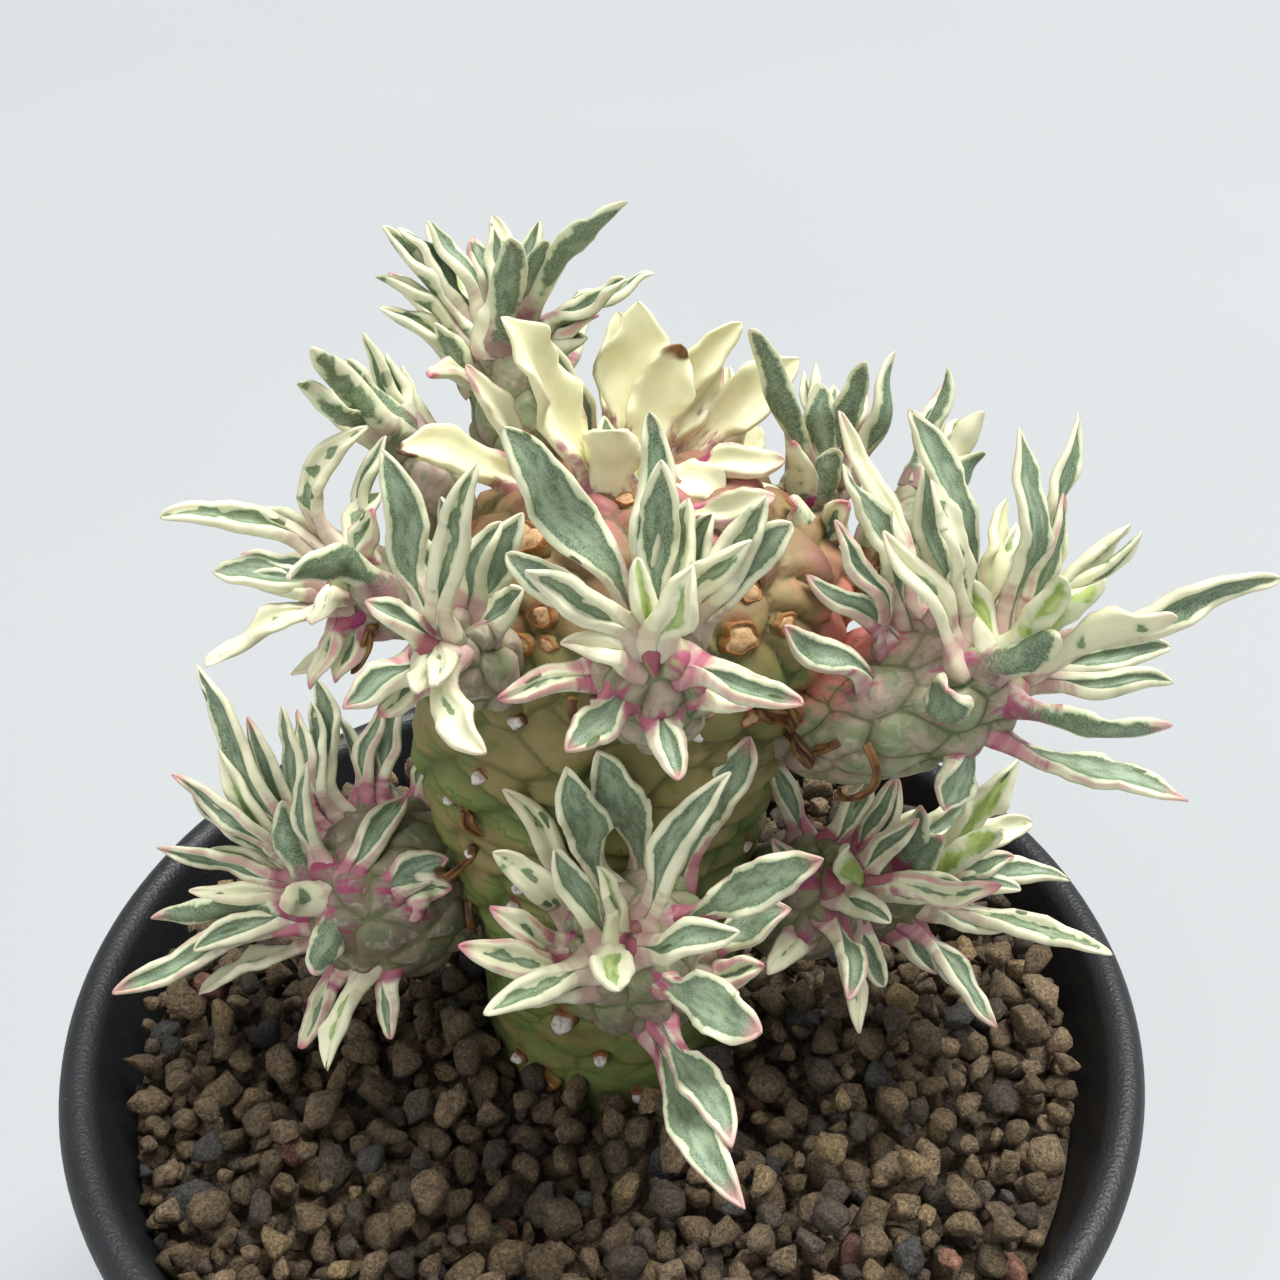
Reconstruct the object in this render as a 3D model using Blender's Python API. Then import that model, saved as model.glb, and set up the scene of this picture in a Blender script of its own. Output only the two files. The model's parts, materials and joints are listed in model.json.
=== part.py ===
"""A knobbly, variegated euphorbia in a black plastic pot of grit.

All numbers are millimetres and degrees unless a name says otherwise, and each mesh is made in metres.
The origin is the middle of the pot's underside, +Z is up, and the plant is seen from -Y.
"""

import math
from collections import namedtuple

import bmesh
import bpy
import numpy as np

METRE = 0.001
CLEARANCE = 0.35

# Driving dimensions of the pot and what is in it
RIM_RADIUS = 60.6
POT_HEIGHT = 104.0
BASE_RADIUS = 43.0
WALL = 2.0
RIM_BEAD = 4.2
COLLAR_RADIUS = RIM_RADIUS - 5.5
COLLAR_LEVEL = POT_HEIGHT - 12.0
COLLAR_RISE = 3.0
INNER_BEND = POT_HEIGHT - 14.0
INNER_LIP = POT_HEIGHT - 8.0
INNER_LIP_RADIUS = RIM_RADIUS - RIM_BEAD - 1.2
FLOOR_LEVEL = 4.6
FOOT_LIFT = 1.6
FOOT_BREADTH = 5.0
BOSS_RADIUS = 13.0
DRAIN_COUNT = 6
DRAIN_REACH = 25.0
DRAIN_LENGTH = 12.0
DRAIN_BREADTH = 3.4
POT_SIDES = 32
SOIL_LEVEL = 97.0
SOIL_RINGS = 10
SOIL_SIDES = 56
GRAIN_RISE = 1.1
GRAIN_DROP = 1.4
SOIL_HOLE = 0.5

# Driving dimensions of the trunk: height, middle (x, y) and half widths (x, y) of each level
TRUNK_LEVELS = (
    (76.0, 1.0, 2.7, 9.5, 9.5),
    (84.0, 1.0, 2.7, 13.2, 12.8),
    (96.0, 0.9, 2.7, 14.8, 14.3),
    (116.0, 0.6, 2.7, 15.2, 15.0),
    (126.0, 0.0, 2.3, 17.0, 16.2),
    (138.0, -0.3, 1.7, 19.0, 17.0),
    (148.0, 2.0, 1.7, 20.3, 16.9),
    (155.0, 4.5, 1.7, 20.5, 16.2),
)
CROWN_RISE = 13.5
CROWN_RUN = 24.0
TRUNK_KNOBS_AROUND = 10
TRUNK_ROWS = 34
TRUNK_RELIEF = 0.75
TRUNK_TWIST = -0.45
KNOBS_START = SOIL_LEVEL + 2.0
KNOBS_FULL = SOIL_LEVEL + 7.0

# The photograph's point of view, found from its pot rim, which is a true circle
PHOTO_SIDE = 1280.0
VIEW_ANGLE = 44.0
VIEW_DOWN = 34.28
EYE = np.array((4.1, -128.96, 238.96))
FOCAL = PHOTO_SIDE / 2 / math.tan(math.radians(VIEW_ANGLE / 2))
SIGHT_UP = np.array((0.0, math.sin(math.radians(VIEW_DOWN)), math.cos(math.radians(VIEW_DOWN))))
SIGHT_AHEAD = np.array((0.0, math.cos(math.radians(VIEW_DOWN)), -math.sin(math.radians(VIEW_DOWN))))
SIGHT_RIGHT = np.array((1.0, 0.0, 0.0))

# One growth: seat in the trunk, growing tip, half width, leaves on its hidden side and their usual
# length, and the share by which its blades turn their faces to the viewer
Growth = namedtuple("Growth", "seat tip girth hidden_leaves reach face")
GROWTHS = {
    "top_back": Growth((-6.5, 10.6, 158.8), (-8.9, 17.0, 178.6), 5.3, 6, 14.0, 0.35),
    "left_back": Growth((-12.6, 5.9, 157.0), (-19.3, 7.4, 170.6), 3.3, 2, 12.0, 0.4),
    "left": Growth((-13.0, 0.7, 153.0), (-25.0, -2.3, 161.0), 4.4, 3, 12.0, 0.5),
    "front_left": Growth((-8.5, -7.3, 151.0), (-13.0, -18.8, 164.0), 4.3, 2, 11.0, 0.3),
    "front_upper": Growth((5.5, -10.3, 149.0), (5.3, -24.8, 167.0), 5.2, 2, 11.0, 0.3),
    "front_lower": Growth((5.8, -10.3, 116.5), (2.3, -25.8, 136.0), 8.0, 3, 13.0, 0.3),
    "lower_left": Growth((-13.0, 0.7, 117.5), (-32.5, -3.3, 121.0), 9.8, 7, 14.0, 0.6),
    "lower_right": Growth((18.0, 1.7, 113.0), (23.6, -9.8, 128.0), 6.9, 3, 13.0, 0.4),
    "lower_far_right": Growth((20.0, 2.7, 113.0), (36.0, -2.3, 123.0), 6.2, 6, 13.0, 0.5),
    "right": Growth((16.5, -3.8, 141.6), (40.0, -9.2, 155.4), 7.4, 8, 15.0, 0.45),
    "back_right": Growth((17.0, 5.7, 154.0), (23.5, 12.7, 165.0), 4.2, 5, 13.0, 0.5),
    "far_back_right": Growth((25.0, 3.7, 152.0), (33.5, 10.2, 163.5), 4.0, 5, 12.0, 0.4),
    "crown": Growth((4.5, 1.7, 141.5), (4.5, 1.7, 168.5), 18.0, 7, 12.0, 0.6),
}
# Each head is one body of one growth, or of two that grew together
HEADS = {
    "head_top_back": ("top_back",),
    "head_left_back": ("left_back",),
    "head_left": ("left",),
    "head_front_left": ("front_left",),
    "head_front_upper": ("front_upper",),
    "head_front_lower": ("front_lower",),
    "head_lower_left": ("lower_left",),
    "head_lower_right": ("lower_right", "lower_far_right"),
    "head_right": ("right",),
    "head_back_right": ("back_right",),
    "head_far_back_right": ("far_back_right",),
}

# One leaf: tip and root as the photograph shows them in its pixels, widest breadth in millimetres,
# fold of its halves in degrees, bow to the left of its way, curl of its tip and nearness of its tip
# to the eye in millimetres, its length where it points at the viewer, and whether it grows behind
Leaf = namedtuple("Leaf", "tip root wide fold bow curl nearer long behind")


def leaf(tip, root, wide, fold=25, bow=0.0, curl=0.0, nearer=0.0, long=0.0, behind=False):
    """One leaf with the usual fold, and no bow or curl unless they are given."""
    return Leaf(tip, root, wide, fold, bow, curl, nearer, long, behind)


LEAVES = {
    "top_back": (
        leaf((379, 226), (466, 320), 3.0, fold=55),
        leaf((401, 222), (469, 305), 3.2, fold=18),
        leaf((426, 219), (478, 298), 2.6, behind=True),
        leaf((379, 269), (466, 340), 2.8, fold=60),
        leaf((380, 304), (446, 360), 2.8, fold=60),
        leaf((491, 226), (498, 305), 2.4, behind=True),
        leaf((516, 230), (500, 342), 3.4, fold=22),
        leaf((539, 219), (517, 305), 2.4, behind=True),
        leaf((499, 289), (482, 347), 3.0, fold=30, curl=1.0),
        leaf((546, 238), (519, 318), 2.0),
        leaf((623, 192), (519, 323), 3.0, fold=50),
        leaf((630, 280), (540, 333), 3.2, fold=50),
        leaf((651, 263), (548, 345), 2.4, behind=True),
        leaf((597, 312), (548, 340), 2.2),
        leaf((589, 337), (552, 352), 2.0),
        leaf((427, 376), (470, 376), 2.4, fold=40, long=7.0),
        leaf((414, 311), (440, 372), 2.4, behind=True),
        leaf((436, 322), (455, 372), 2.4, behind=True),
    ),
    "left_back": (
        leaf((362, 332), (416, 410), 1.9, fold=40),
        leaf((384, 353), (418, 425), 2.8, fold=25),
        leaf((307, 349), (398, 437), 2.6, fold=50),
        leaf((291, 375), (392, 447), 2.2, fold=40),
        leaf((357, 374), (405, 428), 1.9),
        leaf((314, 405), (385, 452), 2.6),
        leaf((398, 366), (437, 405), 1.9),
    ),
    "left": (
        leaf((158, 520), (310, 566), 2.8, fold=40, bow=-2.6, curl=-1.0),
        leaf((211, 572), (305, 575), 3.4, fold=22),
        leaf((242, 578), (300, 593), 2.4),
        leaf((201, 665), (312, 607), 3.0, fold=45),
        leaf((280, 578), (385, 601), 3.6, fold=35, bow=-2.0, nearer=2.0),
        leaf((368, 425), (318, 530), 3.0, fold=40, bow=3.6),
        leaf((383, 434), (341, 520), 2.2, fold=50),
        leaf((378, 490), (340, 555), 3.4, fold=30),
        leaf((374, 507), (362, 553), 2.2),
        leaf((307, 689), (328, 624), 2.2, fold=45),
        leaf((334, 683), (347, 639), 2.0),
        leaf((313, 620), (334, 595), 2.4, long=6.0),
    ),
    "front_left": (
        leaf((387, 447), (428, 619), 3.5, fold=20),
        leaf((464, 467), (437, 630), 3.0, fold=50),
        leaf((504, 521), (464, 611), 2.8, fold=45, curl=-1.5),
        leaf((367, 604), (433, 640), 2.6, fold=40, curl=-1.5),
        leaf((414, 694), (431, 650), 2.2, long=5.5),
        leaf((441, 686), (441, 652), 2.2, long=5.0),
        leaf((483, 756), (454, 658), 3.2, fold=25, bow=-1.6),
        leaf((344, 710), (403, 662), 3.2, fold=35),
        leaf((378, 715), (408, 684), 2.0),
        leaf((525, 588), (489, 623), 2.8, fold=35, long=6.0),
        leaf((521, 510), (478, 600), 3.4, fold=20),
    ),
    "front_upper": (
        leaf((509, 420), (633, 612), 4.7, fold=16),
        leaf((656, 408), (650, 600), 3.0, fold=25, nearer=-4.0),
        leaf((664, 459), (655, 618), 3.6, fold=16),
        leaf((525, 564), (640, 638), 2.8, fold=40),
        leaf((506, 553), (610, 630), 3.2, fold=18, nearer=-2.0),
        leaf((635, 561), (650, 634), 1.8),
        leaf((692, 569), (655, 648), 3.4, fold=35),
        leaf((774, 498), (690, 605), 3.4, fold=45),
        leaf((786, 516), (698, 622), 4.0, fold=16),
        leaf((745, 539), (674, 600), 2.8, fold=35),
        leaf((498, 700), (597, 668), 2.2, fold=40),
        leaf((563, 641), (627, 658), 2.2, fold=55),
        leaf((798, 706), (690, 667), 2.8, fold=40),
        leaf((757, 703), (704, 690), 2.2, fold=40, nearer=-1.5),
        leaf((570, 750), (620, 697), 3.2, fold=22),
        leaf((679, 780), (660, 719), 2.4, fold=30),
    ),
    "front_lower": (
        leaf((602, 744), (646, 871), 5.0, fold=12),
        leaf((561, 772), (605, 887), 4.7, fold=14),
        leaf((717, 772), (642, 924), 3.6, fold=45),
        leaf((760, 736), (690, 863), 4.2, fold=20),
        leaf((829, 853), (678, 924), 4.4, fold=16),
        leaf((788, 905), (715, 946), 3.6, fold=16, nearer=-2.0),
        leaf((738, 934), (635, 950), 3.4, fold=35),
        leaf((617, 991), (609, 948), 4.0, fold=20, curl=-2.0, long=7.5),
        leaf((487, 1010), (591, 966), 3.0, fold=40),
        leaf((453, 949), (575, 974), 3.2, fold=40),
        leaf((520, 1001), (591, 986), 2.2),
        leaf((506, 782), (578, 885), 2.4, fold=45),
        leaf((496, 848), (570, 915), 2.8, fold=30),
        leaf((551, 853), (604, 941), 3.2, fold=22),
        leaf((603, 864), (615, 939), 2.2, fold=50),
        leaf((758, 1035), (660, 982), 5.0, fold=12),
        leaf((741, 1143), (660, 1024), 4.2, fold=18),
        leaf((733, 1205), (652, 1032), 4.4, fold=18),
        leaf((490, 910), (568, 956), 2.6, fold=45, curl=-1.2),
        leaf((765, 962), (712, 981), 2.6, fold=45, curl=-1.2),
    ),
    "lower_left": (
        leaf((193, 662), (269, 834), 3.8, fold=30),
        leaf((213, 750), (277, 871), 3.0, fold=35),
        leaf((245, 716), (280, 824), 2.6, fold=40),
        leaf((281, 705), (298, 844), 2.6, fold=30),
        leaf((299, 707), (306, 824), 2.2, fold=45),
        leaf((317, 699), (320, 813), 2.4, fold=45),
        leaf((322, 675), (335, 809), 3.0, fold=22),
        leaf((384, 707), (355, 793), 2.6, fold=45),
        leaf((406, 687), (376, 799), 3.0, fold=45),
        leaf((174, 768), (262, 860), 2.6, fold=45),
        leaf((185, 795), (270, 869), 3.0, fold=30),
        leaf((155, 845), (255, 882), 2.6, fold=40),
        leaf((211, 844), (290, 889), 2.4, fold=50),
        leaf((187, 893), (282, 897), 2.4, fold=45),
        leaf((149, 911), (260, 925), 2.8, fold=35),
        leaf((190, 946), (294, 911), 3.2, fold=40),
        leaf((107, 992), (299, 923), 3.2, fold=40),
        leaf((281, 903), (318, 899), 2.8, fold=40, long=6.0),
        leaf((406, 793), (345, 888), 3.4, fold=40, nearer=3.0),
        leaf((277, 801), (304, 881), 2.6, fold=40),
        leaf((300, 762), (318, 871), 2.6, fold=40),
        leaf((450, 856), (387, 892), 4.0, fold=30, curl=-1.5, nearer=5.5),
        leaf((452, 892), (412, 912), 2.8, fold=45, bow=1.5, nearer=4.5),
        leaf((434, 741), (420, 802), 2.0, fold=40),
        leaf((312, 976), (330, 924), 3.2, fold=25),
        leaf((306, 1051), (341, 972), 2.6, fold=40, curl=-1.2),
        leaf((320, 1070), (366, 972), 3.0, fold=30),
        leaf((390, 1041), (389, 975), 2.0, fold=40),
    ),
    "lower_right": (
        leaf((769, 754), (802, 835), 2.6, fold=30),
        leaf((843, 846), (857, 883), 2.4, fold=50, long=7.0),
        leaf((873, 773), (833, 842), 2.6, fold=30),
        leaf((896, 777), (858, 858), 2.6, fold=35),
        leaf((904, 781), (866, 868), 2.2, fold=40, nearer=-1.5),
        leaf((918, 822), (861, 877), 2.4, fold=40),
        leaf((997, 891), (861, 890), 2.6, fold=35),
        leaf((894, 922), (841, 893), 2.4, fold=50),
        leaf((852, 999), (831, 920), 2.8, fold=30, bow=1.0),
        leaf((857, 1032), (850, 935), 2.2, fold=55),
        leaf((884, 989), (880, 935), 2.6, fold=30),
        leaf((765, 973), (800, 940), 2.0, fold=40),
        leaf((772, 842), (800, 880), 2.2, fold=40),
    ),
    "lower_far_right": (
        leaf((943, 835), (914, 871), 2.6, fold=30),
        leaf((926, 806), (905, 862), 2.8, fold=35),
        leaf((937, 975), (906, 940), 2.6, fold=30),
        leaf((995, 1031), (920, 930), 3.0, fold=30),
        leaf((1004, 930), (929, 909), 3.2, fold=20),
        leaf((1116, 953), (935, 905), 3.0, fold=35),
        leaf((1018, 760), (935, 860), 4.0, fold=22),
        leaf((1002, 830), (935, 871), 2.8, fold=30),
        leaf((1014, 853), (949, 875), 2.6, fold=30),
        leaf((1022, 886), (950, 883), 2.4, fold=40),
    ),
    "right": (
        leaf((916, 402), (980, 625), 3.8, fold=18),
        leaf((931, 480), (975, 637), 2.8, fold=30),
        leaf((881, 532), (962, 662), 2.8, fold=50),
        leaf((950, 570), (996, 651), 3.2, fold=30),
        leaf((1076, 578), (1000, 658), 2.8, fold=40),
        leaf((1031, 429), (1002, 634), 4.2, fold=14),
        leaf((1096, 418), (1010, 630), 3.4, fold=30, curl=2.0),
        leaf((1070, 494), (1012, 635), 2.8, fold=30),
        leaf((1146, 534), (1018, 640), 2.6, fold=40),
        leaf((1112, 581), (1018, 648), 2.4, fold=40),
        leaf((1179, 617), (1030, 664), 3.8, fold=25),
        leaf((1280, 569), (1030, 654), 3.2, fold=40, nearer=-3.0),
        leaf((1063, 635), (988, 668), 3.2, fold=55),
        leaf((802, 578), (894, 640), 2.8, fold=22),
        leaf((781, 631), (867, 685), 3.2, fold=25),
        leaf((839, 464), (905, 625), 3.8, fold=20),
        leaf((924, 462), (938, 618), 3.4, fold=22),
        leaf((837, 409), (915, 615), 2.4, fold=45, nearer=-3.0),
        leaf((839, 521), (885, 640), 2.0, fold=40),
        leaf((1002, 496), (978, 620), 2.8, fold=20, nearer=-4.0),
        leaf((1173, 727), (1015, 703), 2.8, fold=40, bow=-1.2),
        leaf((1191, 786), (1018, 740), 3.4, fold=20, bow=-1.4),
        leaf((948, 688), (945, 712), 3.8, fold=30, long=5.0),
        leaf((945, 812), (966, 752), 4.0, fold=18),
    ),
    "back_right": (
        leaf((754, 323), (810, 478), 2.4, fold=30),
        leaf((822, 381), (822, 480), 3.4, fold=18),
        leaf((864, 358), (832, 470), 2.8, fold=30),
        leaf((893, 348), (862, 478), 3.2, fold=22),
        leaf((839, 447), (815, 490), 2.2, fold=30),
        leaf((790, 442), (805, 492), 2.0, fold=40),
    ),
    "far_back_right": (
        leaf((954, 368), (915, 470), 2.4, fold=40),
        leaf((939, 394), (925, 470), 2.2, fold=30),
        leaf((983, 410), (945, 465), 2.4, fold=40),
        leaf((985, 451), (955, 480), 2.0, fold=40),
    ),
    "crown": (
        leaf((504, 319), (598, 478), 5.0, fold=40),
        leaf((612, 425), (604, 485), 5.2, fold=30, long=8.0),
        leaf((545, 333), (578, 415), 3.6, fold=20, nearer=-3.0),
        leaf((464, 368), (546, 498), 3.0, fold=35, nearer=1.0),
        leaf((395, 447), (524, 488), 4.0, fold=30, bow=-1.0, nearer=1.0),
        leaf((647, 300), (632, 452), 5.4, fold=14),
        leaf((677, 341), (640, 458), 4.8, fold=20),
        leaf((619, 309), (622, 448), 4.6, fold=20, nearer=-1.0),
        leaf((738, 317), (648, 446), 3.2, fold=40),
        leaf((796, 352), (692, 446), 4.6, fold=25),
        leaf((763, 394), (705, 440), 3.0, fold=30, nearer=-2.0),
        leaf((724, 366), (668, 436), 3.0, fold=30),
        leaf((787, 459), (690, 472), 3.2, fold=30),
        leaf((724, 500), (665, 475), 3.6, fold=25, curl=-1.5),
        leaf((592, 485), (650, 468), 3.8, fold=18),
        leaf((606, 416), (630, 474), 3.0, fold=20, bow=0.8, nearer=-1.0),
        leaf((774, 496), (681, 520), 2.8, fold=30),
        leaf((748, 581), (845, 556), 4.0, fold=18),
        leaf((738, 489), (812, 520), 2.8, fold=30),
        leaf((792, 503), (832, 532), 3.4, fold=30, long=7.0),
        leaf((846, 498), (850, 545), 3.2, fold=30, long=8.0),
    ),
}

# What all the leaves share
HEAD_RELIEF = 0.5
ROOT_SINK = 1.2
ROOT_HALF_WIDTH = 0.7
BLADE_THICK = 1.0
LONG_LEAF = 14.0
LONG_LEAF_STATIONS = (0.0, 0.24, 0.60, 0.84)
SHORT_LEAF_STATIONS = (0.0, 0.30, 0.70)
STEEPEST_LEAN = 0.75
LEAF_SHARE_OF_AXIS = 0.40
STALK_SHARE = 0.30
STALK_END = 0.08
WIDEST_AT = 0.62
SEED = 11
GOLDEN_TURN = math.radians(137.508)
LEAN_FIRST = 28.0
LEAN_SPREAD = 80.0
LEAN_STEP = 0.137
MOST_TRIES = 90
BEND_STEPS = (0, 1, -1, 2, -2, 3, -3, 4, -4, 5, -5, 6, -6, 7, -7)
OWN_BLADE_GAP = 0.33
OTHER_BLADE_GAP = 1.7
BODY_GAP = 1.0
GRIT_GAP = 1.6
RIM_GAP = 6.5
BURIED_DEPTH = 2.0

# Knobs round a head's body and rows of them, for a large head and for a small one
LARGE_GIRTH = 6.5
LARGE_KNOBS = (7, 8)
SMALL_KNOBS = (5, 7)

# Colours and roughnesses of the pieces
POT_BLACK = (0.025, 0.027, 0.030)
GRIT_BROWN = (0.10, 0.07, 0.05)
TRUNK_OLIVE = (0.40, 0.37, 0.22)
LEAF_GREEN = (0.30, 0.38, 0.24)
SATIN = 0.55
DULL = 0.95


def unit(vector):
    """The vector at length one."""
    return vector / max(np.linalg.norm(vector), 1e-9)


def sight_line(pixel):
    """Direction from the eye through a pixel of the photograph, one millimetre deep."""
    right = (pixel[0] - PHOTO_SIDE / 2) / FOCAL
    up = (PHOTO_SIDE / 2 - pixel[1]) / FOCAL
    return SIGHT_RIGHT * right + SIGHT_UP * up + SIGHT_AHEAD


class Ovoid:
    """A body about an axis from its seat to its tip: an ellipsoid, with girth as its half width."""

    def __init__(self, growth):
        seat, tip = np.array(growth.seat), np.array(growth.tip)
        self.middle = (seat + tip) / 2
        self.axis = unit(tip - seat)
        self.half = np.linalg.norm(tip - seat) / 2
        self.girth = growth.girth

    def squeeze(self, vector):
        """The vector in the space where the ovoid is a ball of radius one."""
        along = vector @ self.axis
        across = vector - np.multiply.outer(along, self.axis)
        return across / self.girth + np.multiply.outer(along / self.half, self.axis)

    def surface_on(self, line, behind):
        """Where a sight line meets the ovoid, near side or far side, or comes closest to it."""
        start, ahead = self.squeeze(EYE - self.middle), self.squeeze(line)
        a, b, c = ahead @ ahead, start @ ahead, start @ start - 1.0
        room = b * b - a * c
        depth = (-b + (math.sqrt(room) if behind else -math.sqrt(room))) / a if room > 0 else -b / a
        point = EYE + line * depth
        return self.middle + (point - self.middle) / np.linalg.norm(self.squeeze(point - self.middle))

    def outward(self, point):
        """Outward normal at a point of the surface."""
        offset = point - self.middle
        along = offset @ self.axis
        across = offset - self.axis * along
        return unit(across / self.girth ** 2 + self.axis * along / self.half ** 2)

    def clearance(self, points):
        """Rough distance of points outside the surface, negative inside."""
        reach = np.linalg.norm(self.squeeze(points - self.middle), axis=-1)
        return (reach - 1.0) * min(self.girth, self.half)


Placed = namedtuple("Placed", "route side wide fold")


def leaf_route(root, leaving, tip, bow, curl, up):
    """Control points of the midrib: a cubic from root to tip that leaves along `leaving`."""
    chord = tip - root
    length = np.linalg.norm(chord)
    ahead = chord / length
    across = unit(np.cross(ahead, SIGHT_AHEAD))
    first = root + unit(leaving * 0.6 + ahead * 0.7) * length * 0.33 + across * bow / 0.75
    second = tip - ahead * length * 0.33 + across * bow / 0.75 - unit(up) * curl
    return np.array((root, first, second, tip))


def along_route(route, share):
    """Points and directions of a cubic route at shares 0 to 1 of its parameter."""
    s = np.asarray(share)[..., None]
    r = 1.0 - s
    points = r ** 3 * route[0] + 3 * r * r * s * route[1] + 3 * r * s * s * route[2] + s ** 3 * route[3]
    heads = 3 * r * r * (route[1] - route[0]) + 6 * r * s * (route[2] - route[1]) + 3 * s * s * (route[3] - route[2])
    return points, heads / np.maximum(np.linalg.norm(heads, axis=-1, keepdims=True), 1e-9)


def half_width(share, wide):
    """Half breadth of the blade: a narrow stalk, widest at six tenths, then drawn out to a fine point."""
    grow = np.clip((share - STALK_END) / (WIDEST_AT - STALK_END), 0, 1)
    fall = np.clip((share - WIDEST_AT) / (1 - WIDEST_AT), 0, 1)
    body = STALK_SHARE + (1 - STALK_SHARE) * grow ** 2 * (3 - 2 * grow)
    return wide / 2 * body * (1 - fall ** 2.2) * (1 - 0.35 * fall ** 2)


def blade_frame(placed, share):
    """Midrib points, sideways and upper-face directions of a leaf at the given shares."""
    points, heads = along_route(placed.route, share)
    side = placed.side - (heads @ placed.side)[..., None] * heads
    side /= np.maximum(np.linalg.norm(side, axis=-1, keepdims=True), 1e-9)
    return points, side, np.cross(heads, side)


def blade_samples(placed):
    """Points on a leaf's midrib and halves, from a fifth of its length on, to test its clearance."""
    share = np.linspace(0.2, 1.0, 10)
    points, side, upper = blade_frame(placed, share)
    half = half_width(share, placed.wide)[:, None] * 0.85
    fold = math.radians(placed.fold)
    lift = half * math.sin(fold)
    reach = half * math.cos(fold)
    return np.concatenate((points, points + side * reach + upper * lift, points - side * reach + upper * lift))


class Garden:
    """Everything placed so far, which a new leaf is bent clear of."""

    def __init__(self, bodies):
        self.bodies = bodies
        self.blades = np.zeros((0, 3))
        self.owner = np.zeros(0, int)

    def room(self, head, placed, own_bodies):
        """Smallest gap from a leaf to other heads' leaves and bodies, its own head's, the grit and the rim."""
        points = blade_samples(placed)
        gap = np.min(points[:, 2]) - SOIL_LEVEL - GRIT_GAP
        over_rim = np.hypot(points[:, 0], points[:, 1]) - (RIM_RADIUS - RIM_GAP)
        low = points[:, 2] - POT_HEIGHT - BODY_GAP
        gap = min(gap, np.min(np.maximum(-over_rim, low)))
        for name, body in self.bodies.items():
            if name not in own_bodies:
                gap = min(gap, np.min(body.clearance(points)) - BODY_GAP)
        if len(self.blades):
            apart = np.linalg.norm(points[:, None, :] - self.blades[None, :, :], axis=-1)
            need = np.where(self.owner == head, OWN_BLADE_GAP, OTHER_BLADE_GAP)
            gap = min(gap, np.min(apart - need[None, :]))
        return gap

    def plant(self, head, placed):
        """Keep a leaf's samples for the leaves that come later."""
        points = blade_samples(placed)
        self.blades = np.concatenate((self.blades, points))
        self.owner = np.concatenate((self.owner, np.full(len(points), head)))


def turned_to_viewer(side, ahead, face):
    """A blade's sideways direction, turned by the share `face` towards showing its broad side."""
    shown = unit(np.cross(ahead, SIGHT_AHEAD))
    if shown @ side < 0:
        shown = -shown
    return unit(side * (1 - face) + shown * face)


def seen_leaf(spec, body, face, step):
    """A leaf placed by the photograph: its tip stays on its sight line, `step` nearer to the eye."""
    root = body.surface_on(sight_line(spec.root), spec.behind)
    outward = body.outward(root)
    leaving = unit(outward * (1 - LEAF_SHARE_OF_AXIS) + body.axis * LEAF_SHARE_OF_AXIS)
    line = sight_line(spec.tip)
    ahead = unit(line)
    if spec.long:
        start = EYE - root
        b, c = start @ ahead, start @ start - spec.long ** 2
        depth = -b - math.sqrt(max(b * b - c, 0.0))
    else:
        square = 1.0 - (leaving @ ahead) ** 2
        gap = root - EYE
        level = gap @ ahead
        depth = (level - (gap @ leaving) * (leaving @ ahead)) / max(square, 0.15)
        spread = np.linalg.norm(EYE + ahead * level - root) * STEEPEST_LEAN
        depth = level + float(np.clip(depth - level, -spread, spread))
    tip = EYE + ahead * (depth - spec.nearer - step)
    radial = root - body.middle - body.axis * ((root - body.middle) @ body.axis)
    side = unit(np.cross(body.axis, unit(radial) + 0.3 * unit(tip - root)))
    side = turned_to_viewer(side, unit(tip - root), face)
    route = leaf_route(root - outward * ROOT_SINK, leaving, tip, spec.bow, spec.curl, body.axis)
    return Placed(route, side, spec.wide, spec.fold)


def hidden_leaf(body, lean, turn, reach, wide, fold):
    """A leaf by the spiral rule: `lean` down from the growing tip and `turn` round the axis."""
    level = unit(np.cross(body.axis, SIGHT_RIGHT + 0.1 * SIGHT_UP))
    other = np.cross(body.axis, level)
    way = level * math.cos(turn) + other * math.sin(turn)
    root = body.middle + body.axis * body.half * math.cos(lean) + way * body.girth * math.sin(lean)
    outward = body.outward(root)
    leaving = unit(outward * (1 - LEAF_SHARE_OF_AXIS) + body.axis * LEAF_SHARE_OF_AXIS)
    tip = root + leaving * reach
    route = leaf_route(root - outward * ROOT_SINK, leaving, tip, 0.0, 0.0, body.axis)
    return Placed(route, unit(np.cross(body.axis, way)), wide, fold), outward, root


def seen_from_eye(point):
    """Where the photograph would show a point, in its pixels."""
    offset = point - EYE
    scale = FOCAL / (offset @ SIGHT_AHEAD)
    return np.array((PHOTO_SIDE / 2 + offset @ SIGHT_RIGHT * scale, PHOTO_SIDE / 2 - offset @ SIGHT_UP * scale))


def within_outline(point, specs):
    """Whether a point is seen inside the outline that a growth's leaves have in the photograph."""
    turns = np.arange(24) / 24 * 2 * math.pi
    ways = np.stack((np.cos(turns), np.sin(turns)))
    corners = np.array([spec.tip for spec in specs] + [spec.root for spec in specs], float)
    return bool(np.all(seen_from_eye(point) @ ways <= np.max(corners @ ways, axis=0)))


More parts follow.
